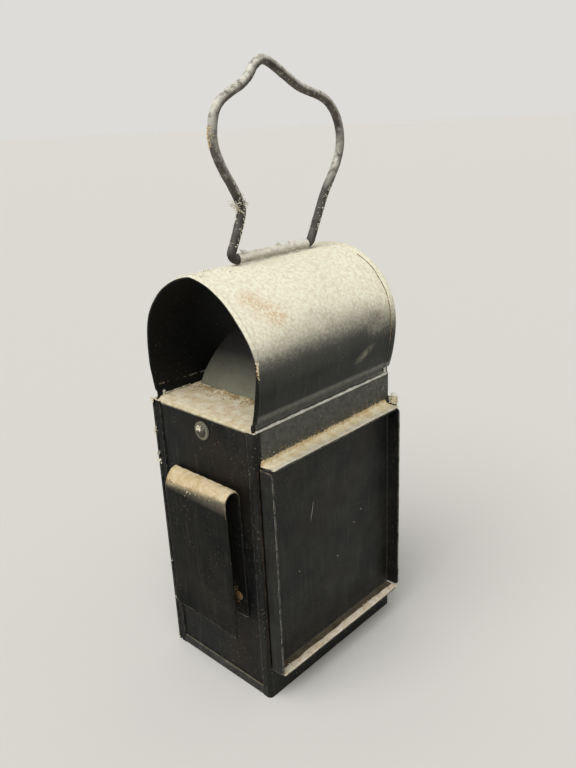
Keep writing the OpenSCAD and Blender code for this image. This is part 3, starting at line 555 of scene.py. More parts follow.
# Hood: one sheet swept over the arch, with the hem folded out at both mouths
hoodShape = {
    "axisZ": 177.0, "radius": 40.4, "skirtRadius": 75.0, "sheet": 0.8, "half": 51.0, "edge": 0.5,
    # Edge tucked in behind the sides, up to where it turns out into the crease
    "tuckX": 35.9, "tuckHalf": 48.25, "tuckHeights": (146.0, 148.5, 150.0, 151.8, 153.2), "shelfZ": 150.0,
    "turnOut": 0.35, "turnZ": 153.9, "creaseZ": 154.5, "tuckProud": 0.02,
    # Hem's width at each mouth, how far it stands proud and where its flat starts and stops. stray is how
    # far the bent sheet is off its arch, by angle from the door side.
    "back": {
        "hem": 2.7, "proud": 0.35, "flat": (1.1, 0.6),
        "stray": [(-31, 0), (-14, -0.3), (0, -0.2), (11, -0.2), (19, -0.8), (28, -1.8), (39, -2.7),
                  (52, -2.6), (64, -2.3), (76, -1.3), (90, -0.2), (102, -1.0), (117, -1.8), (137, -2.3),
                  (154, -2.2), (171, -2.8), (185, -2.6), (200, -1.6), (211, 0)],
    },
    "front": {
        "hem": 4.2, "proud": 0.4, "flat": (1.6, 1.4),
        "stray": [(-31, 0), (-14, 0.2), (0, 0.8), (15, 1.2), (28, 1.6), (43, 1.6), (58, 1.3), (70, 1.0),
                  (90, 0.4), (110, 0.2), (150, 0), (211, 0)],
    },
    "backEase": 1.2,
    # The hem's raw edge: distance from its line and share of its height, then how it wanders and lifts
    "rawEdge": [(0.15, 0.98), (0.0, 0.7), (-0.03, 0.0)],
    "wander": 0.5, "wanderSize": 9.0, "lift": 0.15, "liftSize": 12.0,
    # Dents: angle, y, radius, depth
    "dents": [(52, -30, 9, 0.5), (34, 12, 12, 0.4), (66, 26, 10, 0.4), (8, 34, 8, 0.5), (120, 10, 14, 0.6),
              (150, -20, 10, 0.5), (24, -8, 7, 0.3)],
    "waves": 0.35, "waveSize": 24.0, "ripple": 0.08, "rippleSize": 7.0,
    # What keeps its form: a strip above the crease, and the crown by angle and length about the sleeve
    "stiff": 12.0, "sleeveY": 4.0, "sleeveAngles": (4, 20), "sleeveLengths": (24, 34),
    # The back mouth leans at its foot, up to these heights on the plain side and on the door side
    "lean": 1.2, "leanAlong": (20, 51), "leanFoot": (148, 151), "leanTops": (170, 184), "leanFade": 20,
    # The near hem is given the blacker japan as painted shade, nearer than this y and below this height
    "hemPaintedShade": (-50.3, 184),
}


def archPath(shape):
    path = [(shape["tuckX"], z, 1.0, 0.0) for z in shape["tuckHeights"]]
    path.append((shape["tuckX"] + shape["turnOut"], shape["turnZ"], 0.9, -0.42))
    flareX = shape["radius"] - shape["skirtRadius"]
    drop = math.asin((shape["axisZ"] - shape["creaseZ"]) / shape["skirtRadius"])
    bends = [(flareX, shape["skirtRadius"], turn) for turn in spread(-drop, 0, 9)[:-1]]
    bends += [(0.0, shape["radius"], turn) for turn in spread(0, math.pi / 2, 31)]
    for centreX, radius, turn in bends:
        path.append((centreX + radius * math.cos(turn), shape["axisZ"] + radius * math.sin(turn),
                     math.cos(turn), math.sin(turn)))
    return path + [(-x, z, -nx, nz) for x, z, nx, nz in reversed(path[:-1])]


# How far the hood's sheet lies off its arch at a place
def hoodStray(shape, x, y, z):
    angle = math.degrees(math.atan2(z - shape["axisZ"], x))
    if angle < -90:
        angle += 360
    share = y / shape["half"]
    stray = lookUp(shape["back"]["stray"], angle) * max(0, -share) ** shape["backEase"]
    stray += lookUp(shape["front"]["stray"], angle) * max(0, share)
    underSleeve = ((1 - fade(abs(angle - 90), *shape["sleeveAngles"]))
                   * (1 - fade(abs(y - shape["sleeveY"]), *shape["sleeveLengths"])))
    free = fade(z, shape["creaseZ"], shape["creaseZ"] + shape["stiff"]) * (1 - underSleeve)
    stray += shape["waves"] * free * wobble((x, y, z), shape["waveSize"], 2)
    stray += shape["ripple"] * free * wobble((x, y, z), shape["rippleSize"], 5)
    for at, along, size, depth in shape["dents"]:
        away = math.hypot(math.radians(angle - at) * shape["radius"], y - along) / size
        stray -= depth * math.exp(-away * away * 2)
    return stray


# A place and its normal on the barrel's outer face, by degrees from the door side
def onBarrel(angle, y, lift=0.0, strayed=True):
    ux, uz = math.cos(math.radians(angle)), math.sin(math.radians(angle))
    x, z = hoodShape["radius"] * ux, hoodShape["axisZ"] + hoodShape["radius"] * uz
    out = lift + (hoodStray(hoodShape, x, y, z) if strayed else 0)
    return Vector((x + ux * out, y, z + uz * out)), Vector((ux, 0, uz))


def hemWander(shape, x, y, z):
    return shape["wander"] * wobble((x, math.copysign(40, y), z), shape["wanderSize"], 4)


# Section of one mouth: round its rolled edge, along the hem's flat and down its raw edge
def mouthSection(shape, mouth, half, proud):
    edge, hemEnd = shape["edge"], half - mouth["hem"]
    section = [(half - edge + edge * math.cos(turn),
                (proud - shape["sheet"]) / 2 + (proud + shape["sheet"]) / 2 * math.sin(turn))
               for turn in spread(math.radians(-80), math.radians(80), 7)]
    section += [(half - mouth["flat"][0], proud), (hemEnd + mouth["flat"][1], proud)]
    return section + [(hemEnd + inward, proud * share) for inward, share in shape["rawEdge"]]


def makeHood(shape):
    front, back = shape["front"], shape["back"]
    hemGap = 1.2
    loops = []
    for x, z, nx, nz in archPath(shape):
        tucked = z <= shape["creaseZ"] - 0.2
        half = shape["half"] if z >= shape["shelfZ"] - 0.01 else shape["tuckHalf"]
        frontEnd, backEnd = half - front["hem"], half - back["hem"]
        frontSection, backSection = (
            mouthSection(shape, mouth, half, shape["tuckProud"] if tucked else mouth["proud"])
            for mouth in (front, back))
        inner = half - shape["edge"]
        profile = [(y, -shape["sheet"]) for y in spread(-inner, inner, 40)] + frontSection
        profile += [(y, 0.0) for y in spread(frontEnd - hemGap, -backEnd + hemGap, 40)]
        profile += [(-y, out) for y, out in reversed(backSection)]
        loop = []
        for y, out in profile:
            stray = hoodStray(shape, x, y, z)
            rawEdge = frontEnd if y > 0 else backEnd
            nearHem = fade(abs(y), rawEdge - 0.6, rawEdge - 0.1)
            nearHem *= 1 - fade(abs(y), rawEdge + 0.3, rawEdge + 1.2)
            y += nearHem * hemWander(shape, x, y, z)
            if out > 0.1:
                lifted = wobble((x, math.copysign(40, y), z), shape["liftSize"], 6)
                out += nearHem * shape["lift"] * max(0, lifted)
            if y < 0:
                top = shape["leanTops"][0 if x < 0 else 1]
                lean = shape["lean"] * fade(-y, *shape["leanAlong"]) * fade(z, *shape["leanFoot"])
                lean *= 1 - fade(z, top - shape["leanFade"], top)
                y += lean if x < 0 else -lean
            loop.append((x + nx * (out + stray), y, z + nz * (out + stray)))
        loops.append(loop)

    def facesIn(middle, normal):
        return normal.x * middle.x + normal.z * max(0, middle.z - shape["axisZ"]) < -1

    # The near hem's faces, painted blacker as shade
    def onHemPaintedShade(middle, normal):
        return middle.y < shape["hemPaintedShade"][0] and middle.z < shape["hemPaintedShade"][1]

    addBodies("hoodSheet", [loops], "hood", slot="japanned_tin", stands=("hood",), sharp=50,
              others=[("soot", facesIn), ("seam", onHemPaintedShade)])


makeHood(hoodShape)
print("hood made")


# Cowl: one sheet bent into four walls that meet in hips. Its foot is a little smaller than the solid's,
# which allows for a soldered flange. sweep is the walls' radius in mm, and lean is in degrees at the foot.
cowlShape = {
    "halfX": 32.8, "halfY": 24.2, "foot": 150.0, "sweep": 84.0, "lean": 13.0, "rise": 35.1, "sheet": 0.7,
    "corner": 1.1, "leastCorner": 0.3, "footCorner": 1.5, "dent": 0.01, "dentSize": 15.0,
}


def cowlHalf(shape, foot, height):
    lean = math.radians(shape["lean"])
    return (foot - shape["sweep"] * math.cos(lean)
            + math.sqrt(shape["sweep"] ** 2 - (height + shape["sweep"] * math.sin(lean)) ** 2))


def cowlRing(shape, height, inset):
    wide, deep = (cowlHalf(shape, shape[k], height) - inset for k in ("halfX", "halfY"))
    corner = max(shape["leastCorner"], shape["corner"] - inset / 2)
    z = shape["foot"] + height
    ring = []
    for x, y in cutUp(roundedRing(wide, deep, corner, 5), lambda size: 16 if size > 4 else 1):
        grown = 1 + shape["dent"] * wobble((x, y, z), shape["dentSize"], 3)
        ring.append((x * grown, y * grown, z))
    return ring


def makeCowl(shape):
    heights = spread(0, shape["rise"], 24)
    loops = [cowlRing(shape, h, 0) for h in heights]
    loops += [cowlRing(shape, h, shape["sheet"]) for h in reversed(heights)]
    addBodies("cowlSheet", [loops], "cowl", ring=True, slot="bare_tin", stands=("inner_cowl",), sharp=50)


makeCowl(cowlShape)


# Bail: the bent wire, through points read along its middle, with rust scale on it
bailShape = {
    "radius": 2.25, "step": 0.9, "sides": 18, "scale": 0.11, "scaleSize": 1.5, "lumps": 0.08, "lumpSize": 5.0,
    "sway": 0.25, "swaySize": 30.0,
    "line": [
        (-12, 220.1), (-17, 220.1), (-21, 220.1), (-23.2, 221.0), (-24.15, 223.0), (-23.4, 225.2),
        (-20.9, 230.0), (-18.5, 235.2), (-16.5, 240.3), (-16.2, 244.6), (-18.2, 249.2), (-21.5, 254.8),
        (-25.8, 261.4), (-29.2, 268.4), (-30.6, 274.5), (-30.2, 280.4), (-28.4, 286.0), (-25.0, 290.3),
        (-18.4, 294.1), (-11.6, 297.2), (-6.6, 300.8), (-2.6, 305.4), (2.3, 307.9), (8.2, 306.4),
        (17, 301.7), (26.7, 296.6), (34.6, 294.2), (43.6, 291.7), (50.6, 287.7), (55.4, 281.6),
        (57.7, 274.2), (57.5, 266.6), (54.8, 259.6), (50.2, 252.6), (45.0, 245.4), (40.9, 238.2),
        (37.2, 231.2), (33.6, 224.4), (31.6, 221.0), (28.6, 220.1), (24.5, 220.1), (20, 220.1),
    ],
}


# A smooth curve through the corners of a line, in steps of about this length
def curveThrough(line, step):
    points = []
    padded = [line[0]] + line + [line[-1]]
    for a, b, c, d in zip(padded, padded[1:], padded[2:], padded[3:]):
        count = max(2, round(math.dist(b, c) / step))
        for i in range(count):
            t = i / count
            points.append(tuple(
                0.5 * (2 * q + (r - p) * t + (2 * p - 5 * q + 4 * r - s) * t * t
                       + (3 * q - p - 3 * r + s) * t ** 3)
                for p, q, r, s in zip(a, b, c, d)))
    return points + [line[-1]]


# Rings round a line given in 3D, radius from a function of place along and angle
def tubeLoops(line, sides, radius, flat=None):
    loops = []
    side = None
    for i, here in enumerate(line):
        here = Vector(here)
        ahead = Vector(line[min(i + 1, len(line) - 1)]) - Vector(line[max(i - 1, 0)])
        ahead.normalize()
        if side is None:
            side = flat or ahead.orthogonal()
        side = (side - ahead * side.dot(ahead)).normalized()
        other = ahead.cross(side)
        loop = []
        for j in range(sides):
            turn = 2 * math.pi * j / sides
            out = side * math.cos(turn) + other * math.sin(turn)
            loop.append(tuple(here + out * radius(here, out, i)))
        loops.append(loop)
    return loops


def makeBail(shape):
    pivotZ = pivots["bail_swing"][2]
    line = [(shape["sway"] * wobble((0, y, z), shape["swaySize"], 3), y, z)
            for y, z in curveThrough(shape["line"], shape["step"])]

    def wireRadius(here, out, i):
        place = here + out * shape["radius"]
        scale = shape["scale"] * max(-0.3, wobble(place, shape["scaleSize"], 1))
        lumps = shape["lumps"] * wobble(place, shape["lumpSize"], 2)
        return shape["radius"] + fade(here.z, pivotZ, pivotZ + 2) * (scale + lumps)

    loops = tubeLoops(line, shape["sides"], wireRadius, Vector((1, 0, 0)))
    addBodies("bailWire", [loops], "wire", body="bail", slot="rusty_wire", stands=("bail",), sharp=60)


makeBail(bailShape)
print("bail made")


# Sleeve: rolled tube on the crown, with an uneven run of solder down to the hood on both sides
sleeveShape = {
    "ends": (-20.6, 28.4), "radius": 2.62, "bore": 2.3, "rough": 0.1, "roughSize": 2.4,
    "arc": (-45, 225), "arcSteps": 25, "inside": 10,
    # The run's half width, less at the tube's ends, where it leaves the tube and how hollow it lies
    "solder": 2.5, "least": 2.3, "endShare": 0.72, "endReach": 4.0, "uneven": 0.35, "unevenSize": 5.0,
    "runX": 2.0, "runDrop": 2.1, "runShares": (0.25, 0.55, 0.8, 1.0), "hollow": 1.8, "sunk": 0.12,
    "underIn": 0.5, "underSunk": 0.45,
}


def makeSleeve(shape):
    axisZ, barrel, pivotZ = hoodShape["axisZ"], hoodShape["radius"], pivots["bail_swing"][2]
    first, last = shape["arc"]
    turns = [math.radians(turn) for turn in spread(first, last, shape["arcSteps"])]
    gaps = [math.radians(turn) for turn in spread(last, first + 360, shape["inside"] + 2)[1:-1]]
    outer, inner = [], []
    for y in spread(*shape["ends"], 70):
        inward = fade(min(y - shape["ends"][0], shape["ends"][1] - y), 0, shape["endReach"])
        loop = []
        for turn in turns:
            ux, uz = math.cos(turn), math.sin(turn)
            reach = shape["radius"] + shape["rough"] * wobble((ux * 3, y, uz * 3), shape["roughSize"], 1)
            loop.append((ux * reach, y, pivotZ + uz * reach))
        for side in (-1, 1):
            width = shape["solder"] * (shape["endShare"] + (1 - shape["endShare"]) * inward)
            width += shape["uneven"] * wobble((side * 9, y, 0), shape["unevenSize"], 2)
            width = max(shape["least"], width)
            run = []
            for share in shape["runShares"]:
                x = shape["runX"] + (width - shape["runX"]) * share
                foot = axisZ + math.sqrt(barrel ** 2 - x * x)
                drop = (pivotZ - shape["runDrop"] - foot) * (1 - share) ** shape["hollow"]
                run.append((side * x, y, foot - shape["sunk"] + drop))
            under = (side * (width - shape["underIn"]), y, axisZ + barrel - shape["underSunk"])
            loop += run + [under] if side < 0 else [under] + run[::-1]
        outer.append(loop)
        inner.append([(math.cos(turn) * shape["bore"], y, pivotZ + math.sin(turn) * shape["bore"])
                      for turn in turns + gaps])
    addBodies("sleeveTube", [outer + inner[::-1]], "solder", ring=True, slot="bare_tin",
              stands=("handle_sleeve",), sharp=60)


makeSleeve(sleeveShape)


# Socket: one strap rolled over at the top, drooping on the plain side, bowed and dog-eared with use.
# Heights and depths are of the sheet's middle.
strapShape = {
    "left": -23.1, "right": 24.3, "thick": 1.0, "backY": -51.75, "rollY": -56.8, "rollZ": 113.5,
    "rollRadius": 4.45, "taper": 1.4, "footLeft": 38.2, "footRight": 36.4, "backFoot": 44.5, "leanFrom": 98,
    "cornerLeft": 3.0, "cornerRight": 1.4, "cornerReach": 8.0,
    "bow": 0.35, "wave": 0.22, "waveSize": 18.0, "edge": 0.25, "edgeSize": 7.0, "edgeFrom": 15,
    # How far the foot's corners are bent out: by how much, from how far across and from how far down
    "earLeft": (1.1, 8, 0.72), "earRight": (0.5, 14, 0.8),
    # The roll's line at the plain end: share of the turn, y, z
    "droop": [(0, -51.75, 112.5), (0.15, -51.95, 115.2), (0.3, -52.8, 116.4), (0.5, -55.4, 115.7),
              (0.7, -57.7, 113.3), (0.85, -59.1, 110.9), (1, -59.8, 108.6)],
    "legSteps": 30, "rollSteps": 19, "frontSteps": 44, "columns": 26,
}


# The strap's middle line at one place across it, from the back leg's foot over the roll to the front foot
def strapLine(shape, across):
    share = (across - shape["left"]) / (shape["right"] - shape["left"])
    topZ = shape["droop"][0][2] + (shape["rollZ"] - shape["droop"][0][2]) * share
    backLean = (shape["rollY"] + shape["rollRadius"] - shape["backY"]) * share
    line = [(shape["backY"] + backLean * fade(z, shape["leanFrom"], topZ), z)
            for z in spread(shape["backFoot"], topZ, shape["legSteps"])[:-1]]
    for turn in spread(0, 1, shape["rollSteps"]):
        right = (shape["rollY"] + shape["rollRadius"] * math.cos(math.pi * turn),
                 shape["rollZ"] + shape["rollRadius"] * math.sin(math.pi * turn))
        left = (lookUp([(t, y) for t, y, z in shape["droop"]], turn),
                lookUp([(t, z) for t, y, z in shape["droop"]], turn))
        line.append(tuple(a + (b - a) * share for a, b in zip(left, right)))
    startY, startZ = line[-1]
    footZ = shape["footLeft"] + (shape["footRight"] - shape["footLeft"]) * share
    for down in spread(0, 1, shape["frontSteps"])[1:]:
        line.append((startY + shape["taper"] * down * share, startZ + (footZ - startZ) * down))
    return line


# The line's normal at one of its points
def acrossLine(line, i):
    (ay, az), (by, bz) = line[max(i - 1, 0)], line[min(i + 1, len(line) - 1)]
    size = math.hypot(by - ay, bz - az)
    return (bz - az) / size, -(by - ay) / size


def makeStrap(shape):
    middle, halfWidth = (shape["left"] + shape["right"]) / 2, (shape["right"] - shape["left"]) / 2
    # Places across the sheet, and the share of its thickness there, round both rounded edges
    inset, rounding = 0.25, 0.07
    flat = [(x, 0.5) for x in spread(-halfWidth + inset, halfWidth - inset, shape["columns"])]
    flat += [(halfWidth - rounding, 0.35), (halfWidth, 0.0), (halfWidth - rounding, -0.35)]
    flat += [(-x, -share) for x, share in flat]
    firstFront = shape["legSteps"] - 1 + shape["rollSteps"]
    lines = {x: strapLine(shape, middle + x) for x, share in flat}
    loops = []
    for i in range(firstFront + shape["frontSteps"] - 1):
        down = max(0.0, (i - firstFront + 1) / (shape["frontSteps"] - 1))
        loop = []
        for x, share in flat:
            y, z = lines[x][i]
            ny, nz = acrossLine(lines[x], i)
            out = share * shape["thick"]
            if down > 0:
                out += shape["wave"] * wobble((x, 0, z), shape["waveSize"], 3) * fade(down, 0, 0.15)
                out += shape["bow"] * math.sin(math.pi * down) * (1 - (x / halfWidth) ** 2)
                ear, across, downFrom = shape["earLeft"] if x < 0 else shape["earRight"]
                out += ear * fade(abs(x), across, halfWidth) * fade(down, downFrom, 1)
            corner = shape["cornerLeft"] if x < 0 else shape["cornerRight"]
            inCorner = max(0, abs(x) - (halfWidth - corner))
            raised = corner - math.sqrt(max(0, corner ** 2 - inCorner ** 2))
            foot = lines[x][0][1] if i < shape["legSteps"] else lines[x][-1][1]
            raised *= 1 - fade(z - foot, 0, shape["cornerReach"])
            wander = shape["edge"] * wobble((math.copysign(20, x), y, z), shape["edgeSize"], 6)
            wander *= fade(abs(x), shape["edgeFrom"], halfWidth)
            loop.append((middle + x + wander, y + ny * out, z + nz * out + raised))
        loops.append(loop)

    def facesGap(middle, normal):
        return normal.y * (middle.y - shape["rollY"]) + normal.z * max(0, middle.z - shape["rollZ"]) < -0.2

    addBodies("strapSheet", [loops], "strap", slot="japanned_tin", stands=("socket_strap",), sharp=50,
              others=[("case", facesGap)])


makeStrap(strapShape)
print("sleeve and strap made")


# Door: a tray of one sheet, its four border strips folded out and left open at the corners
doorShape = {
    "panelX": 37.4, "lip": 45.6, "low": (-50.15, 17.9), "high": (48.75, 132.6), "bend": 0.9, "thick": 0.8,
    "corner": 2.4, "brokenEdge": 0.13, "columns": 46, "rows": 54,
    # Steps across a strip: degrees of its bend, places on its flat, degrees of its rounded corner
    "bendSteps": (25, 50, 75, 90), "flatSteps": (38.9, 40.2, 41.6, 43.0),
    "cornerSteps": (15, 35, 55, 72, 84, 90),
    "buckle": 0.22, "buckleSize": 30.0, "buckleRim": 6,
    # Strips sag and their edges are nicked; the hinged one sags less and the top one leans out
    "sag": 0.25, "sagSize": 26.0, "hingeSag": 0.2, "topLean": 0.2, "nick": 0.18, "nickSize": 6.0,
}


# How far the panel bulges at a place
def doorBuckle(y, z):
    return doorShape["buckle"] * wobble((0, y, z), doorShape["buckleSize"], 4)


def makeDoor(shape):
    points, index = [], {}
    panelX, lip, bend, corner = (shape[k] for k in ("panelX", "lip", "bend", "corner"))
    ys, zs = (spread(low + bend, high - bend, count) for low, high, count
              in zip(shape["low"], shape["high"], (shape["columns"], shape["rows"])))
    lastY, lastZ = len(ys) - 1, len(zs) - 1
    for i, y in enumerate(ys):
        for j, z in enumerate(zs):
            rim = min(i, lastY - i, j, lastZ - j)
            index[i, j] = len(points)
            points.append((panelX + doorBuckle(y, z) * fade(rim, 0, shape["buckleRim"]), y, z))
    faces = [(index[i, j], index[i + 1, j], index[i + 1, j + 1], index[i, j + 1])
             for i in range(lastY) for j in range(lastZ)]
    section = [(panelX + bend - bend * math.cos(math.radians(t)), bend * math.sin(math.radians(t)))
               for t in shape["bendSteps"]]
    section += [(x, bend) for x in shape["flatSteps"]]
    section += [(lip - corner * (1 - math.sin(math.radians(t))), bend) for t in shape["cornerSteps"]]
    for upright, far in ((False, False), (False, True), (True, False), (True, True)):
        along, walls = (zs, ys) if upright else (ys, zs)
        middle, halfLong = (along[-1] + along[0]) / 2, (along[-1] - along[0]) / 2
        wall, out = (walls[-1], 1) if far else (walls[0], -1)
        side = len(walls) - 1 if far else 0
        rows = [[index[(side, k) if upright else (k, side)] for k in range(len(along))]]
        for x, away in section:
            share = fade(x, panelX + 2, lip)
            dip = max(0, x - (lip - corner))
            narrow = corner - math.sqrt(max(0, corner ** 2 - dip ** 2))
            row = []
            for a in along:
                lean = shape["sag"] * share * wobble((a, 40 * out, 9 if upright else 0), shape["sagSize"], 7)
                if far and upright:
                    lean *= shape["hingeSag"]
                elif far:
                    lean += shape["topLean"] * share
                nick = shape["nick"] * share
                nick *= wobble((a, 10 * out, 30 if upright else 5), shape["nickSize"], 8)
                a = middle + (a - middle) * (halfLong - narrow) / halfLong
                edge = wall + out * away + lean
                row.append(len(points))
                points.append((x + nick, edge, a) if upright else (x + nick, a, edge))
            rows.append(row)
        for lower, upper in zip(rows, rows[1:]):
            faces += [(lower[k], lower[k + 1], upper[k + 1], upper[k]) for k in range(len(along) - 1)]
    door = addPiece("doorSheet", points, faces, "door", body="door", slot="japanned_tin",
                    stands=("door_tray",), sharp=40)
    solid = door.modifiers.new("thickness", "SOLIDIFY")
    solid.thickness = shape["thick"] * mm
    solid.offset = 0
    solid.use_even_offset = True
    edges = door.modifiers.new("brokenEdges", "BEVEL")
    edges.width = shape["brokenEdge"] * mm
    edges.segments = 2
    edges.limit_method = "ANGLE"
    edges.angle_limit = math.radians(55)


makeDoor(doorShape)
print("door made")


# Dust lying on a surface. place gives the surface point and its normal, depth the thickness in mm;
# where depth is below 0 the layer dips into the metal, so its outline comes out ragged.
def addDust(name, us, vs, place, depth, finish, ring=False, bury=0.12, **rest):
    top, under, faces = [], [], []
    for u in us:
        for v in vs:
            point, normal = place(u, v)
            top.append(tuple(point + normal * max(-bury * 0.6, depth(u, v, point))))
            under.append(tuple(point - normal * bury))
    rows, columns = len(us), len(vs)
    shift = len(top)
    for i in range(rows if ring else rows - 1):
        for j in range(columns - 1):
            a, b = i * columns + j, (i + 1) % rows * columns + j
            faces.append((a, b, b + 1, a + 1))
            faces.append((shift + a, shift + a + 1, shift + b + 1, shift + b))
        a, b = i * columns, (i + 1) % rows * columns
        faces.append((a, shift + a, shift + b, b))
        a, b = a + columns - 1, b + columns - 1
        faces.append((a, b, shift + b, shift + a))
    if not ring:
        for j in range(columns - 1):
            faces.append((j, j + 1, shift + j + 1, shift + j))
            a = (rows - 1) * columns + j
            faces.append((a, shift + a, shift + a + 1, a + 1))
    addPiece(name, top + under, faces, finish, sharp=180, **rest)


# Shelf dust: a thin ragged layer, banked up against the cowl's foot and the hood's walls
shelfShape = {
    "halfX": 35.0, "halfY": 50.9, "bendY": 49.05, "bend": 2.2, "underCowl": 0.35,
    "thin": 0.14, "grain": 0.34, "fine": 0.1, "bank": 1.2, "bankReach": 1.6, "wallBank": 1.0,
    "wallReach": 0.6,
    # It thins out between these distances from the middle, on the bend down to the end plate
    "ends": (47.6, 49.9), "sunk": 0.03,
}


# How far the bent edge of the shelf has dropped at a distance along y
def shelfDrop(y):
    bend, over = shelfShape["bend"], max(0.0, abs(y) - shelfShape["bendY"])
    return bend - math.sqrt(max(0.0, bend ** 2 - over ** 2))


# Distance from the lamp's axis out to the cowl's foot
def footReach(turn):
    ux, uy = abs(math.cos(turn)), abs(math.sin(turn))
    corner = cowlShape["footCorner"]
    cornerX, cornerY = cowlShape["halfX"] - corner, cowlShape["halfY"] - corner
    reach = min((cornerX + corner) / max(1e-9, ux), (cornerY + corner) / max(1e-9, uy))
    if reach * ux > cornerX and reach * uy > cornerY:
        across = ux * cornerX + uy * cornerY
        reach = across + math.sqrt(across ** 2 - cornerX ** 2 - cornerY ** 2 + corner ** 2)
    return reach


def makeShelfDust(shape):
    def place(u, v):
        turn = math.tau * u
        ux, uy = math.cos(turn), math.sin(turn)
        near = footReach(turn) - shape["underCowl"]
        far = min(shape["halfX"] / max(1e-9, abs(ux)), shape["halfY"] / max(1e-9, abs(uy)))
        x, y = (c * (near + (far - near) * v) for c in (ux, uy))
        tilt = math.copysign(max(0.0, abs(y) - shape["bendY"]) / shape["bend"], y)
        return Vector((x, y, hoodShape["shelfZ"] - shelfDrop(y))), Vector((0, tilt, 1)).normalized()

    def depth(u, v, point):
        fromFoot = max(0, point.xy.length - footReach(math.tau * u))
        fromWall = max(0, shape["halfX"] - abs(point.x))
        grains = (0.45 + wobble(point, 3.2, 1)) * (0.6 + 0.8 * wobble(point, 11, 2))
        thick = shape["thin"] + shape["grain"] * grains
        thick += shape["bank"] * math.exp(-fromFoot / shape["bankReach"]) * (0.8 + 0.5 * wobble(point, 4, 3))
        thick += shape["wallBank"] * math.exp(-fromWall / shape["wallReach"])
        thick += shape["fine"] * wobble(point, 0.9, 4)
        return thick * (1 - fade(abs(point.y) + 0.5 * wobble(point, 5.0, 8), *shape["ends"])) - shape["sunk"]

    addDust("shelfDust", [i / 260 for i in range(260)], spread(0, 1, 26), place, depth, "dust", ring=True)


# Dust on the strap's roll, thickest on top, its lower edge ragged on the front. Places along the strap
# are counted in the steps of its line.
rollShape = {"deep": 0.42, "fine": 0.16, "steps": (31.5, 51.0), "back": (32, 35), "front": (40.0, 46.0),
             "inset": 0.15, "endFade": 0.8, "brownBelow": 111.6, "sunk": 0.03}


def onStrap(across, at):
    line = strapLine(strapShape, across)
    i = min(int(at), len(line) - 2)
    share = at - i
    (ay, az), (by, bz) = line[i], line[i + 1]
    (firstY, firstZ), (nextY, nextZ) = acrossLine(line, i), acrossLine(line, i + 1)
    normal = Vector((0, firstY + (nextY - firstY) * share, firstZ + (nextZ - firstZ) * share)).normalized()
    face = Vector((across, ay + (by - ay) * share, az + (bz - az) * share)) + normal * strapShape["thick"] / 2
    return face, normal


def makeRollDust(shape):
    left, right = strapShape["left"] + shape["inset"], strapShape["right"] - shape["inset"]

    def depth(u, v, point):
        ragged = 1.6 * wobble((u, 0, 0), 6.0, 2) + 0.5 * wobble((u, v, 0), 1.2, 9)
        body = fade(v, *shape["back"]) * (1 - fade(v + ragged, *shape["front"]))
        ends = fade(min(u - left, right - u), 0, shape["endFade"])
        thick = shape["deep"] * body * (0.75 + 0.6 * wobble(point, 2.6, 3))
        thick += shape["fine"] * wobble(point, 0.8, 5)
        return thick * ends + 0.3 * (body - 0.35) * ends - shape["sunk"]

    def lowEdge(middle, normal):
        return middle.z + 1.6 * wobble(middle, 1.3, 4) < shape["brownBelow"]

    addDust("rollDust", spread(left, right, 130), spread(*shape["steps"], 52), onStrap, depth, "rollDust",
            others=[("rollFringe", lowEdge)])


# Dust on the door's upper and lower border strips: banked against the case above, on the lip half below
borderShape = {
    "x": (36.85, 45.62), "y": (-49.2, 48.4), "upper": 133.0, "upperRise": 0.2, "lower": 18.3, "lowerX": 39.5,
    "deep": 0.34, "fine": 0.1, "endFade": 1.2, "lipFade": 0.35,
    # Bank against the case, higher and wider towards the hinge
    "bank": 2.3, "hingeBank": 0.6, "bankReach": 0.8, "hingeReach": 0.9,
    # Where the upper strip's dust turns grey and brown, and where the lower strip's starts
    "greyBeyond": 42.4, "brownWithin": 37.6, "lowerEdge": (41.1, 42.7), "upperSunk": 0.04, "lowerSunk": 0.06,
}


def makeBorderDust(shape):
    (inner, lip), (near, far) = shape["x"], shape["y"]

    def upperPlace(u, v):
        return Vector((v, u, shape["upper"] + shape["upperRise"] * fade(v, 39.4, 45.6))), Vector((0, 0, 1))

    def lowerPlace(u, v):
        return Vector((v, u, shape["lower"])), Vector((0, 0, 1))

    def layer(u, v, point):
        thick = shape["deep"] * (1.0 + 0.55 * wobble(point, 2.4, 2)) + shape["fine"] * wobble(point, 0.8, 4)
        return thick, fade(min(u - near, far - u), 0, shape["endFade"]) * fade(lip - v, 0.0, shape["lipFade"])

    def upperDepth(u, v, point):
        thick, ends = layer(u, v, point)
        reach = shape["bankReach"] + shape["hingeReach"] * fade(u, 34, 47)
        bank = (shape["bank"] + shape["hingeBank"] * fade(u, 30, 46)) * math.exp(-max(0.0, v - inner) / reach)
        bank *= 0.85 + 0.15 * wobble(point, 7.0, 6) + 0.4 * wobble(point, 0.8, 11)
        return (thick + bank) * ends - shape["upperSunk"]

    def lowerDepth(u, v, point):
        thick, ends = layer(u, v, point)
        edge = fade(v + 0.8 * wobble((u, 0, 0), 6.0, 4), *shape["lowerEdge"])
        return thick * ends * edge - shape["lowerSunk"]

    def onLip(middle, normal):
        return middle.x + 0.9 * wobble(middle, 4.0, 3) > shape["greyBeyond"]

    def atCase(middle, normal):
        return middle.x + 0.5 * wobble(middle, 1.5, 4) < shape["brownWithin"]

    along = spread(near, far, 220)
    addDust("upperBorderDust", along, spread(inner, lip, 26), upperPlace, upperDepth, "flangeDust",
            body="door", others=[("coolDust", onLip), ("fringeDust", atCase)])
    addDust("lowerBorderDust", along, spread(shape["lowerX"], lip, 20), lowerPlace, lowerDepth, "lowDust",
            body="door")


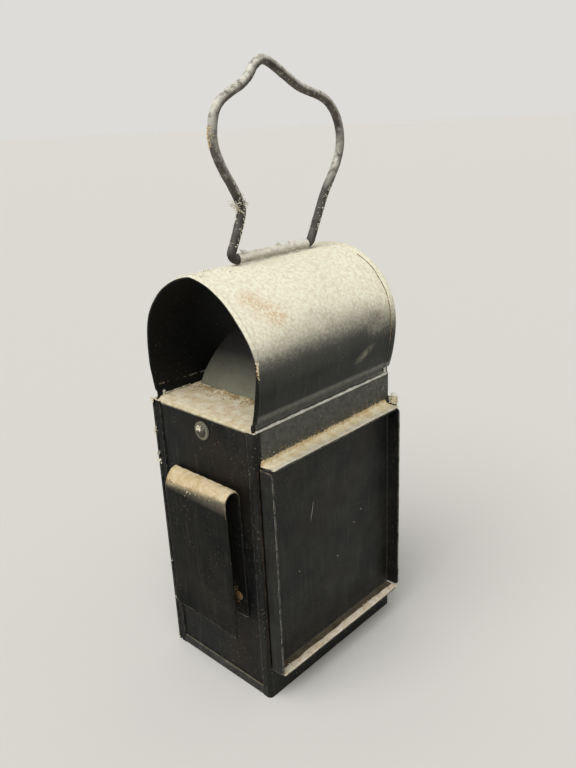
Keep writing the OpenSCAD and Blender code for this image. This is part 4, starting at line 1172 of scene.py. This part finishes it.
# Lines of dust, thickest along their middle. lumps is what is left of one at its thinnest, then shares and
# sizes of its unevenness.
def addDustLine(name, shape, place, finish):
    first, last = shape["across"]
    least, *lumps = shape["lumps"]

    def depth(u, v, point):
        rough = least + sum(share * wobble(point, size, seed) for (share, size), seed in zip(lumps, (2, 5)))
        return shape["deep"] * math.sin(math.pi * (v - first) / (last - first)) * rough - shape["sunk"]

    steps, acrossSteps = shape["steps"]
    addDust(name, spread(*shape["along"], steps), spread(first, last, acrossSteps), place, depth, finish)


# On the side sheets' rounded top edges, below the hood's crease: a pale line that is dust and a painted
# highlight on the edge; across is in degrees round the edge
ledgeShape = {"along": (-50.5, 49.5), "across": (-40, 160), "steps": (240, 10), "x": 36.4, "z": 149.9,
              "round": 0.3, "deep": 0.95, "lumps": (0.8, (0.4, 4.0), (0.3, 1.0)), "sunk": 0.02}


def onLedge(side):
    def place(u, v):
        normal = Vector((side * math.cos(math.radians(v)), 0, math.sin(math.radians(v))))
        return Vector((side * ledgeShape["x"], u, ledgeShape["z"])) + normal * ledgeShape["round"], normal
    return place


# Along the crease inside the hood, on the plain side, a little lower towards the front
creaseShape = {"along": (-48, 47), "across": (-0.7, 0.7), "steps": (200, 7), "z": 154.6, "fall": 0.05,
               "deep": 0.4, "lumps": (0.4, (0.6, 5.0), (0.7, 1.2)), "sunk": 0.05}


def onCrease(u, v):
    z = creaseShape["z"] - creaseShape["fall"] * u + v
    turn = math.asin((z - hoodShape["axisZ"]) / hoodShape["skirtRadius"])
    x = hoodShape["radius"] - hoodShape["skirtRadius"] * (1 - math.cos(turn)) - hoodShape["sheet"]
    return Vector((-x - hoodStray(hoodShape, -x, u, z), u, z)), Vector((1, 0, 0))


# Rust and dirt packed into the narrow gap between the case and the door's near border strip
gapShape = {"along": (20, 131), "across": (-51.3, -50.3), "steps": (260, 7), "x": 36.7,
            "deep": 0.55, "lumps": (0.7, (0.8, 6.0), (0.5, 1.2)), "sunk": 0.05}


def inGap(u, v):
    return Vector((gapShape["x"], v, u)), Vector((1, 0, 0))


makeShelfDust(shelfShape)
makeRollDust(rollShape)
makeBorderDust(borderShape)
# Pale lines on both side sheets' top edges: dust and a painted highlight
addDustLine("ledgeDustAndHighlightDoorSide", ledgeShape, onLedge(1), "ledgeDustAndHighlight")
addDustLine("ledgeDustAndHighlightPlainSide", ledgeShape, onLedge(-1), "ledgeDustAndHighlight")
addDustLine("creaseDust", creaseShape, onCrease, "creaseDust")
addDustLine("gapDust", gapShape, inGap, "gapDirt")
print("dust layers made")


# Loose grains: small lumps half sunk in the surface under them
def lumpLoops(draw, point, normal, size):
    side = normal.orthogonal().normalized()
    other = normal.cross(side)
    start = draw.uniform(0, 6.3)
    loops = []
    for height, reach in ((-0.35, 0.8), (0.15, 1.0), (0.55, 0.55)):
        loop = []
        for k in range(6):
            turn = start + k * math.pi / 3
            out = size * reach * draw.uniform(0.75, 1.25)
            loop.append(tuple(point + side * out * math.cos(turn) + other * out * math.sin(turn)
                              + normal * size * height * draw.uniform(0.8, 1.2)))
        loops.append(loop)
    return loops


def addGrit(name, seed, count, place, sizes, finish="grit", **rest):
    draw = random.Random(seed)
    bodies = []
    for _ in range(count):
        point, normal = place(draw)
        bodies.append(lumpLoops(draw, point, normal, draw.uniform(*sizes) * draw.uniform(0.6, 1)))
    addBodies(name, bodies, finish, sharp=70, **rest)


# The places below give a grain's middle and the normal under it

def onHood(draw):
    angle, y = draw.triangular(35, 125, 84), draw.uniform(-50, 50)
    # Where the bail lies down on the crown the grit is brushed off
    if min(abs(y + 21), abs(y - 31.5)) < 6:
        y += 13
    front = hoodShape["front"]
    return onBarrel(angle, y, front["proud"] if y > hoodShape["half"] - front["hem"] else 0)


# Clumps on the crown, between the near mouth and the sleeve
def onCrownEdge(draw):
    onHood(draw)  # its draws come first, so that the clumps stay where they are
    y = draw.choice((-44.8, -37, -31.3, -47.5, -41)) + draw.gauss(0, 1.2)
    return onBarrel(draw.gauss(96, 7), y, strayed=False)


def onShelf(draw):
    x, y = draw.uniform(-34, 34), -draw.triangular(31, 50.4, 46)
    return Vector((x, y, hoodShape["shelfZ"] + 0.15 - shelfDrop(y))), Vector((0, 0, 1))


def onRoll(draw):
    point, normal = onStrap(draw.uniform(-22.6, 23.8), draw.triangular(33, 50, 39))
    return point + normal * 0.15, normal


# The hem's raw edges stand rusty, with pale dust lodged against them
def onHem(draw):
    if draw.random() < 0.35:
        angle, y = draw.triangular(-10, 11, 0), draw.uniform(-50.9, -49.6)
    else:
        angle, y = draw.uniform(-16, 62), 46.7
    point, normal = onBarrel(angle, y, 0.15)
    arch = onBarrel(angle, y, strayed=False)[0]
    point.y += math.copysign(1, y) * hemWander(hoodShape, *arch)
    return point, normal


# A pale chip in the japan on the near mouth's hem
def onHemChip(draw):
    angle, y = math.radians(draw.triangular(-3, 13, 6)), -50.3 + draw.gauss(0, 0.3)
    out = hoodShape["radius"] + hoodStray(hoodShape, 40, y, hoodShape["axisZ"]) + 0.2
    return Vector((out * math.cos(angle), y, hoodShape["axisZ"] + out * math.sin(angle))), Vector((1, 0, 0))


# Brown dirt along the cowl's foot, on the banked dust
def onCowlFoot(draw):
    out = abs(draw.gauss(0, 2.4))
    place = Vector((draw.uniform(-32, 32.5), -24.4 - out, hoodShape["shelfZ"] + 0.3 + math.exp(-out / 1.6)))
    return place, Vector((0, -0.5, 1)).normalized()


# Dirt that creeps up the side above the door's upper strip
def onSideFoot(draw):
    return Vector((36.72, draw.uniform(-48.5, 48), 134.6 + abs(draw.gauss(0, 1.3)))), Vector((1, 0, 0))


# Dust along the tuck's edge inside the hood, on the plain side
def onTuck(draw):
    return Vector((-34.4, draw.uniform(-46, -29), 151.9 + draw.gauss(0, 0.12))), Vector((1, 0, 0))


def onUpperBorder(draw):
    x, wall = abs(draw.gauss(0, 0.5)), 36.9
    z = borderShape["upper"] + 0.2 + 1.6 * math.exp(-x / 0.8)
    return Vector((wall + x, draw.uniform(-49, 48.2), z)), Vector((0, 0, 1))


def onLowerBorder(draw):
    x, y = draw.triangular(40.0, 45.2, 44.0), draw.uniform(-49, 47.5)
    return Vector((x, y, borderShape["lower"] + 0.2)), Vector((0, 0, 1))


# Dust on the upper half of the top rivet's dome, more to one side: dust, and a painted highlight
rivetShape = {"y": -50.75, "z": 142.0, "radius": 3.5}


def onRivet(draw):
    side, up = draw.uniform(-2.2, 1.1), draw.uniform(1.0, 2.9)
    side *= min(1, 2.6 / math.hypot(side, up))
    bulge = math.sqrt(max(0, rivetShape["radius"] ** 2 - side ** 2 - up ** 2))
    place = Vector((side, rivetShape["y"] - bulge, rivetShape["z"] + up))
    return place, Vector((side, -bulge, up)).normalized()


# Dust on top of the door's far corner, in the angle behind it and round the top knuckle
def onKnuckle(draw):
    hingeX, hingeY, _ = pivots["door_swing"]
    if draw.random() < 0.3:
        return Vector((draw.uniform(38.6, 42.4), draw.uniform(49.0, 51.0), 133.7)), Vector((0, 0, 1))
    if draw.random() < 0.5:
        x, y, z = draw.uniform(37.0, 39.6), 51.3 + draw.gauss(0, 0.2), draw.uniform(133.5, 135.8)
        return Vector((x, y, z)), Vector((0, -1, 0))
    turn = math.radians(draw.uniform(-95, 25))
    out = Vector((math.cos(turn), math.sin(turn), 0))
    return Vector((hingeX, hingeY, draw.uniform(133.4, 136.9))) + out * 2.1, out


# A rust stain that has run down from the strap's lower rivet
def onStain(draw):
    down = draw.triangular(-7, 6, 0)
    return Vector((16.8 + draw.gauss(0, 1.1), -52.4, 56.5 + down)), Vector((0, -1, 0))


def onSleeve(draw):
    turn = math.radians(draw.uniform(-10, 130))
    out = Vector((math.cos(turn), 0, math.sin(turn)))
    return Vector((0, draw.uniform(-19.5, 27.6), pivots["bail_swing"][2])) + out * 2.58, out


# Between two heights of the bail's wire, at these degrees round it, as far as a place along y
def onBail(low, high, sides, last=60):
    wire = curveThrough(bailShape["line"], bailShape["step"])
    line = [(y, z) for y, z in wire if low < z < high and y < last]

    def place(draw):
        y, z = draw.choice(line)
        turn = math.radians(draw.choice(sides) + draw.gauss(0, 24))
        out = Vector((math.cos(turn), math.sin(turn), 0))
        return Vector((0, y, z)) + out * bailShape["radius"], out
    return place


# Name, seed, number of grains, where they lie, least and greatest size in mm, finish and body
gritLots = [
    ("hoodGrit", 3, 420, onHood, (0.2, 0.42), "paleGrit", "case"),
    ("crownGrit", 5, 64, onCrownEdge, (0.35, 0.75), "paleGrit", "case"),
    ("shelfGrit", 7, 170, onShelf, (0.25, 0.6), "grit", "case"),
    ("rollGrit", 9, 150, onRoll, (0.22, 0.45), "rollDust", "case"),
    ("upperBorderGrit", 11, 230, onUpperBorder, (0.22, 0.5), "fringeDust", "door"),
    ("lowerBorderGrit", 13, 90, onLowerBorder, (0.22, 0.45), "lowDust", "door"),
    ("hemGrit", 15, 420, onHem, (0.2, 0.42), "hemDust", "case"),
    ("cowlFootGrit", 49, 560, onCowlFoot, (0.3, 0.65), "footDirt", "case"),
    ("sideFootGrit", 51, 520, onSideFoot, (0.2, 0.42), "sideDirt", "case"),
    ("tuckGrit", 55, 110, onTuck, (0.18, 0.3), "grit", "case"),
    ("hemChip", 53, 60, onHemChip, (0.3, 0.55), "flangeDust", "case"),
    ("rivetDustAndHighlight", 17, 26, onRivet, (0.3, 0.6), "grit", "case"),
    ("knuckleDust", 19, 150, onKnuckle, (0.45, 0.8), "grit", "case"),
    ("rivetStain", 37, 150, onStain, (0.15, 0.34), "hemDust", "case"),
    # Pale flecks along both edges of the bail's lower legs, dust and painted highlights, and a rusty patch at
    # the shoulder over the strap
    ("bailGritAndHighlights", 43, 430, onBail(226, 256, (18, 252)), (0.22, 0.45), "fluff", "bail"),
    ("bailRust", 45, 90, onBail(271, 280, (200, 240, 280), 0), (0.3, 0.6), "fringeDust", "bail"),
    ("sleeveGrit", 39, 110, onSleeve, (0.22, 0.5), "grit", "case"),
]
for name, seed, count, place, sizes, finish, body in gritLots:
    addGrit(name, seed, count, place, sizes, finish, body=body)


# Fluff: short crooked fibres caught on the wire and seams. Steps are shares of a nest's size.
fluffShape = {"spread": 0.35, "step": 0.16, "steps": (6, 12), "crook": 0.55, "thick": (0.07, 0.14)}


def addFluff(name, seed, nests, shape, **rest):
    draw = random.Random(seed)

    def scatter(size):
        return Vector([draw.gauss(0, size) for _ in range(3)])

    bodies = []
    for centre, size, count in nests:
        for _ in range(count):
            here = Vector(centre) + scatter(size * shape["spread"])
            heading = scatter(1).normalized()
            line = []
            for _ in range(draw.randint(*shape["steps"])):
                line.append(tuple(here))
                heading = (heading + scatter(shape["crook"])).normalized()
                here = here + heading * size * shape["step"]
            thick = draw.uniform(*shape["thick"])
            bodies.append(tubeLoops(line, 4, lambda place, out, i: thick))
    addBodies(name, bodies, "fluff", sharp=180, **rest)


# Each nest is its middle, its size in mm and its number of fibres
bailNests = [((0.6, -14.9, 246.0), 2.2, 26), ((0.4, -18.9, 243.6), 3.4, 22), ((0.8, -21.4, 245.2), 2.0, 8),
             ((0.8, -16.4, 248.0), 1.6, 10)]
footNests = [((0.0, -24.4, 227.4), 1.0, 10), ((0.0, 36.0, 225.6), 1.2, 14)]
sleeveNests = [((0.6, -17.4, 223.1), 1.5, 20), ((0.3, 7.2, 223.1), 1.6, 16), ((0.3, 15.5, 222.9), 1.3, 8),
               ((2.6, 18.3, 218.6), 1.3, 10), ((1.5, -8.0, 222.0), 1.2, 8)]
seamNests = [((-36.8, -52.1, 134.0), 1.2, 16), ((-36.4, -52.1, 120.6), 1.1, 12),
             ((-36.6, -52.1, 53.3), 1.0, 10), ((-35.9, -52.1, 29.2), 1.0, 12)]
addFluff("bailFluff", 21, bailNests, fluffShape, body="bail")
addFluff("footFluff", 23, footNests, fluffShape, body="bail")
addFluff("sleeveFluff", 25, sleeveNests, fluffShape)
addFluff("seamFluff", 27, seamNests, fluffShape)


# Blobs of solder on the hinge pin's head and at both ends of the hood's foot
def onPinHead(draw):
    hingeX, hingeY, _ = pivots["door_swing"]
    return Vector((hingeX + draw.gauss(0, 0.3), hingeY + draw.gauss(0, 0.3), 138.0)), Vector((0, 0, 1))


def onFarFoot(draw):
    return Vector((36.5, 47.6 + draw.gauss(0, 0.5), 152.9 + draw.gauss(0, 0.6))), Vector((1, 0, 0))


def onPlainFoot(draw):
    return Vector((-35.3, draw.uniform(-47.6, -44.6), draw.uniform(150.4, 153.0))), Vector((1, 0, 0))


# Pale dust at spots down the plain side's seam, and on top of the door side's seam
seamSpots = [(-37.4, -52.3, 149.8), (-38.0, -52.2, 131.5), (-37.8, -52.2, 116.0), (-36.2, -52.2, 115.2),
             (-33.8, -52.2, 31.2), (-35.2, -52.2, 30.4), (-37.9, -52.1, 3.0)]


def onSeam(draw):
    place = Vector(draw.choice(seamSpots)) + Vector([draw.gauss(0, size) for size in (0.7, 0.1, 1.1)])
    return place, Vector((0, -1, 0))


def onSeamTop(draw):
    x, y = draw.uniform(31.8, 36.9), -51.7 + draw.gauss(0, 0.2)
    return Vector((x, y, 150.0)), Vector((0, -0.3, 1)).normalized()


addGrit("pinBlob", 31, 5, onPinHead, (1.4, 1.9), "paleGrit", slot="bare_tin")
addGrit("seamGrit", 35, 34, onSeam, (0.4, 0.85))
addGrit("seamTopDust", 41, 24, onSeamTop, (0.25, 0.5))
addGrit("farSolder", 47, 6, onFarFoot, (0.7, 1.1), "pin", slot="bare_tin")
addGrit("footSolder", 33, 7, onPlainFoot, (0.8, 1.2), "pin", slot="bare_tin")


# Cowl's foot: a lumpy bead of solder and rust round it
beadShape = {"z": 150.1, "radius": 0.8, "uneven": 0.35, "unevenSize": 4.0, "step": 1.5, "sides": 10}


def makeBead(shape):
    foot = roundedRing(cowlShape["halfX"], cowlShape["halfY"], cowlShape["footCorner"], 22)
    path = cutUp(foot, lambda size: max(1, round(size / shape["step"])))
    turns = [math.tau * k / shape["sides"] for k in range(shape["sides"])]
    loops = []
    for i, (x, y) in enumerate(path):
        (ax, ay), (bx, by) = path[i - 1], path[(i + 1) % len(path)]
        ahead = Vector((bx - ax, by - ay, 0)).normalized()
        out, up = Vector((ahead.y, -ahead.x, 0)), Vector((0, 0, 1))
        size = shape["radius"] + shape["uneven"] * wobble((x, y, 0), shape["unevenSize"], 2)
        loops.append([tuple(Vector((x, y, shape["z"])) + (out * math.cos(t) + up * math.sin(t)) * size)
                      for t in turns])
    addBodies("cowlBead", [loops], "dust", ring=True, sharp=180)


makeBead(beadShape)


# Scratches in the door's japan, down to the tin: each from one place on the panel to another, y and z
scratchShape = {"lines": [(-14.3, 102.4, -18.1, 87.5), (-42.6, 46.2, -43.0, 39.6), (23.0, 79.2, 25.2, 77.4),
                          (16.6, 73.8, 18.9, 72.2), (2.0, 60.0, 3.6, 58.2), (-28.0, 66.5, -26.6, 64.0)],
                "thick": 0.13, "taper": 0.7, "sunk": 0.06, "waver": 0.25, "waverSize": 3.0, "steps": 12}


def makeScratches(shape):
    face = doorShape["panelX"] + doorShape["thick"] / 2 - shape["sunk"]
    middle = (shape["steps"] - 1) / 2

    def radius(place, out, i):
        return shape["thick"] * (1 - shape["taper"] * abs(i / middle - 1))

    bodies = []
    for startY, startZ, endY, endZ in shape["lines"]:
        line = []
        for share in spread(0, 1, shape["steps"]):
            y, z = startY + (endY - startY) * share, startZ + (endZ - startZ) * share
            y += shape["waver"] * wobble((y, z, 0), shape["waverSize"], 1)
            line.append((face + doorBuckle(y, z), y, z))
        bodies.append(tubeLoops(line, 6, radius))
    addBodies("doorScratches", bodies, "pin", body="door", slot="bare_tin", sharp=180)


makeScratches(scratchShape)
print("grit, fluff, solder and scratches made")


# Camera where the photograph was taken from: place in mm, lens and sensor in mm, angles in degrees
cameraShape = {"place": (253.93, -254.155, 281.89), "lens": 33.93, "sensor": 36.0, "nearest": 10.0,
               "azimuth": 43.87, "elevation": 20.12, "roll": -2.69}


def makeCamera(shape):
    azimuth, elevation, roll = (math.radians(shape[k]) for k in ("azimuth", "elevation", "roll"))
    back = Vector((math.sin(azimuth) * math.cos(elevation), -math.cos(azimuth) * math.cos(elevation),
                   math.sin(elevation)))
    right = Vector((0, 0, 1)).cross(back).normalized()
    up = back.cross(right)
    across = right * math.cos(roll) + up * math.sin(roll)
    above = up * math.cos(roll) - right * math.sin(roll)
    data = bpy.data.cameras.new("photoCamera")
    data.lens = shape["lens"]
    data.sensor_width = shape["sensor"]
    data.clip_start = shape["nearest"] * mm
    camera = bpy.data.objects.new("photoCamera", data)
    turned = Matrix((across, above, back)).transposed().to_4x4()
    camera.matrix_world = Matrix.Translation([c * mm for c in shape["place"]]) @ turned
    bpy.context.scene.collection.objects.link(camera)
    bpy.context.scene.camera = camera


# Studio: pale floor, pale surroundings and one broad soft light overhead, the same over the whole floor.
# The surroundings light the lamp with fill and look as bright as seen. The floor's radius is in metres.
studioShape = {"floor": "#e2e0da", "floorRadius": 30.0, "tooth": 3.0, "toothDepth": 0.05,
               "sky": "#f1f0ec", "fill": 0.4, "seen": 0.82,
               "lampFrom": (0.15, -0.62, 1.0), "lampAngle": 60.0, "lampStrength": 2.15}


# Board painted with a roller: matt, pale and even, with the faintest tooth. Its tooth is drawn 3 mm
# across, coarser than a roller leaves it, so that it shows.
def paintedBoard(shape):
    material, tree = newTree("paintedBoardFloor")
    place = addNode(tree, "ShaderNodeTexCoord").outputs["Object"]
    tooth = addNode(tree, "ShaderNodeTexNoise",
                    {"Vector": place, "Scale": 1 / (shape["tooth"] * mm), "Detail": 3.0})
    bump = addNode(tree, "ShaderNodeBump",
                   {"Height": tooth, "Strength": 0.3, "Distance": shape["toothDepth"] * mm})
    shader = addNode(tree, "ShaderNodeBsdfPrincipled",
                     {"Base Color": colour(shape["floor"]), "Roughness": 0.7, "Normal": bump,
                      "Specular IOR Level": 0.2})
    addNode(tree, "ShaderNodeOutputMaterial", {"Surface": shader})
    return material


def makeStudio(shape):
    scene = bpy.context.scene
    mesh = bpy.data.meshes.new("studioFloor")
    work = bmesh.new()
    bmesh.ops.create_circle(work, cap_ends=True, segments=64, radius=shape["floorRadius"])
    work.to_mesh(mesh)
    work.free()
    mesh.materials.append(paintedBoard(shape))
    floor = bpy.data.objects.new("studioFloor", mesh)
    scene.collection.objects.link(floor)

    world = bpy.data.worlds.new("studioWorld")
    world.use_nodes = True
    world.node_tree.nodes.clear()
    tree = world.node_tree
    ray = addNode(tree, "ShaderNodeLightPath")
    seen = addNode(tree, "ShaderNodeMath",
                   {0: ray.outputs["Is Camera Ray"], 1: ray.outputs["Is Glossy Ray"]}, operation="MAXIMUM")
    seen = addNode(tree, "ShaderNodeMath", {0: seen, 1: ray.outputs["Is Transmission Ray"]},
                   operation="MAXIMUM")
    strength = addNode(tree, "ShaderNodeMapRange",
                       {"Value": seen, "To Min": shape["fill"], "To Max": shape["seen"]})
    sky = addNode(tree, "ShaderNodeBackground", {"Color": colour(shape["sky"]), "Strength": strength})
    addNode(tree, "ShaderNodeOutputWorld", {"Surface": sky})
    scene.world = world

    lampData = bpy.data.lights.new("softLamp", "SUN")
    lampData.angle = math.radians(shape["lampAngle"])
    lampData.energy = shape["lampStrength"]
    lamp = bpy.data.objects.new("softLamp", lampData)
    lamp.rotation_mode = "QUATERNION"
    lamp.rotation_quaternion = Vector(shape["lampFrom"]).to_track_quat("Z", "Y")
    scene.collection.objects.link(lamp)
    scene.view_settings.view_transform = "Standard"


makeCamera(cameraShape)
makeStudio(studioShape)
print("camera and studio made")
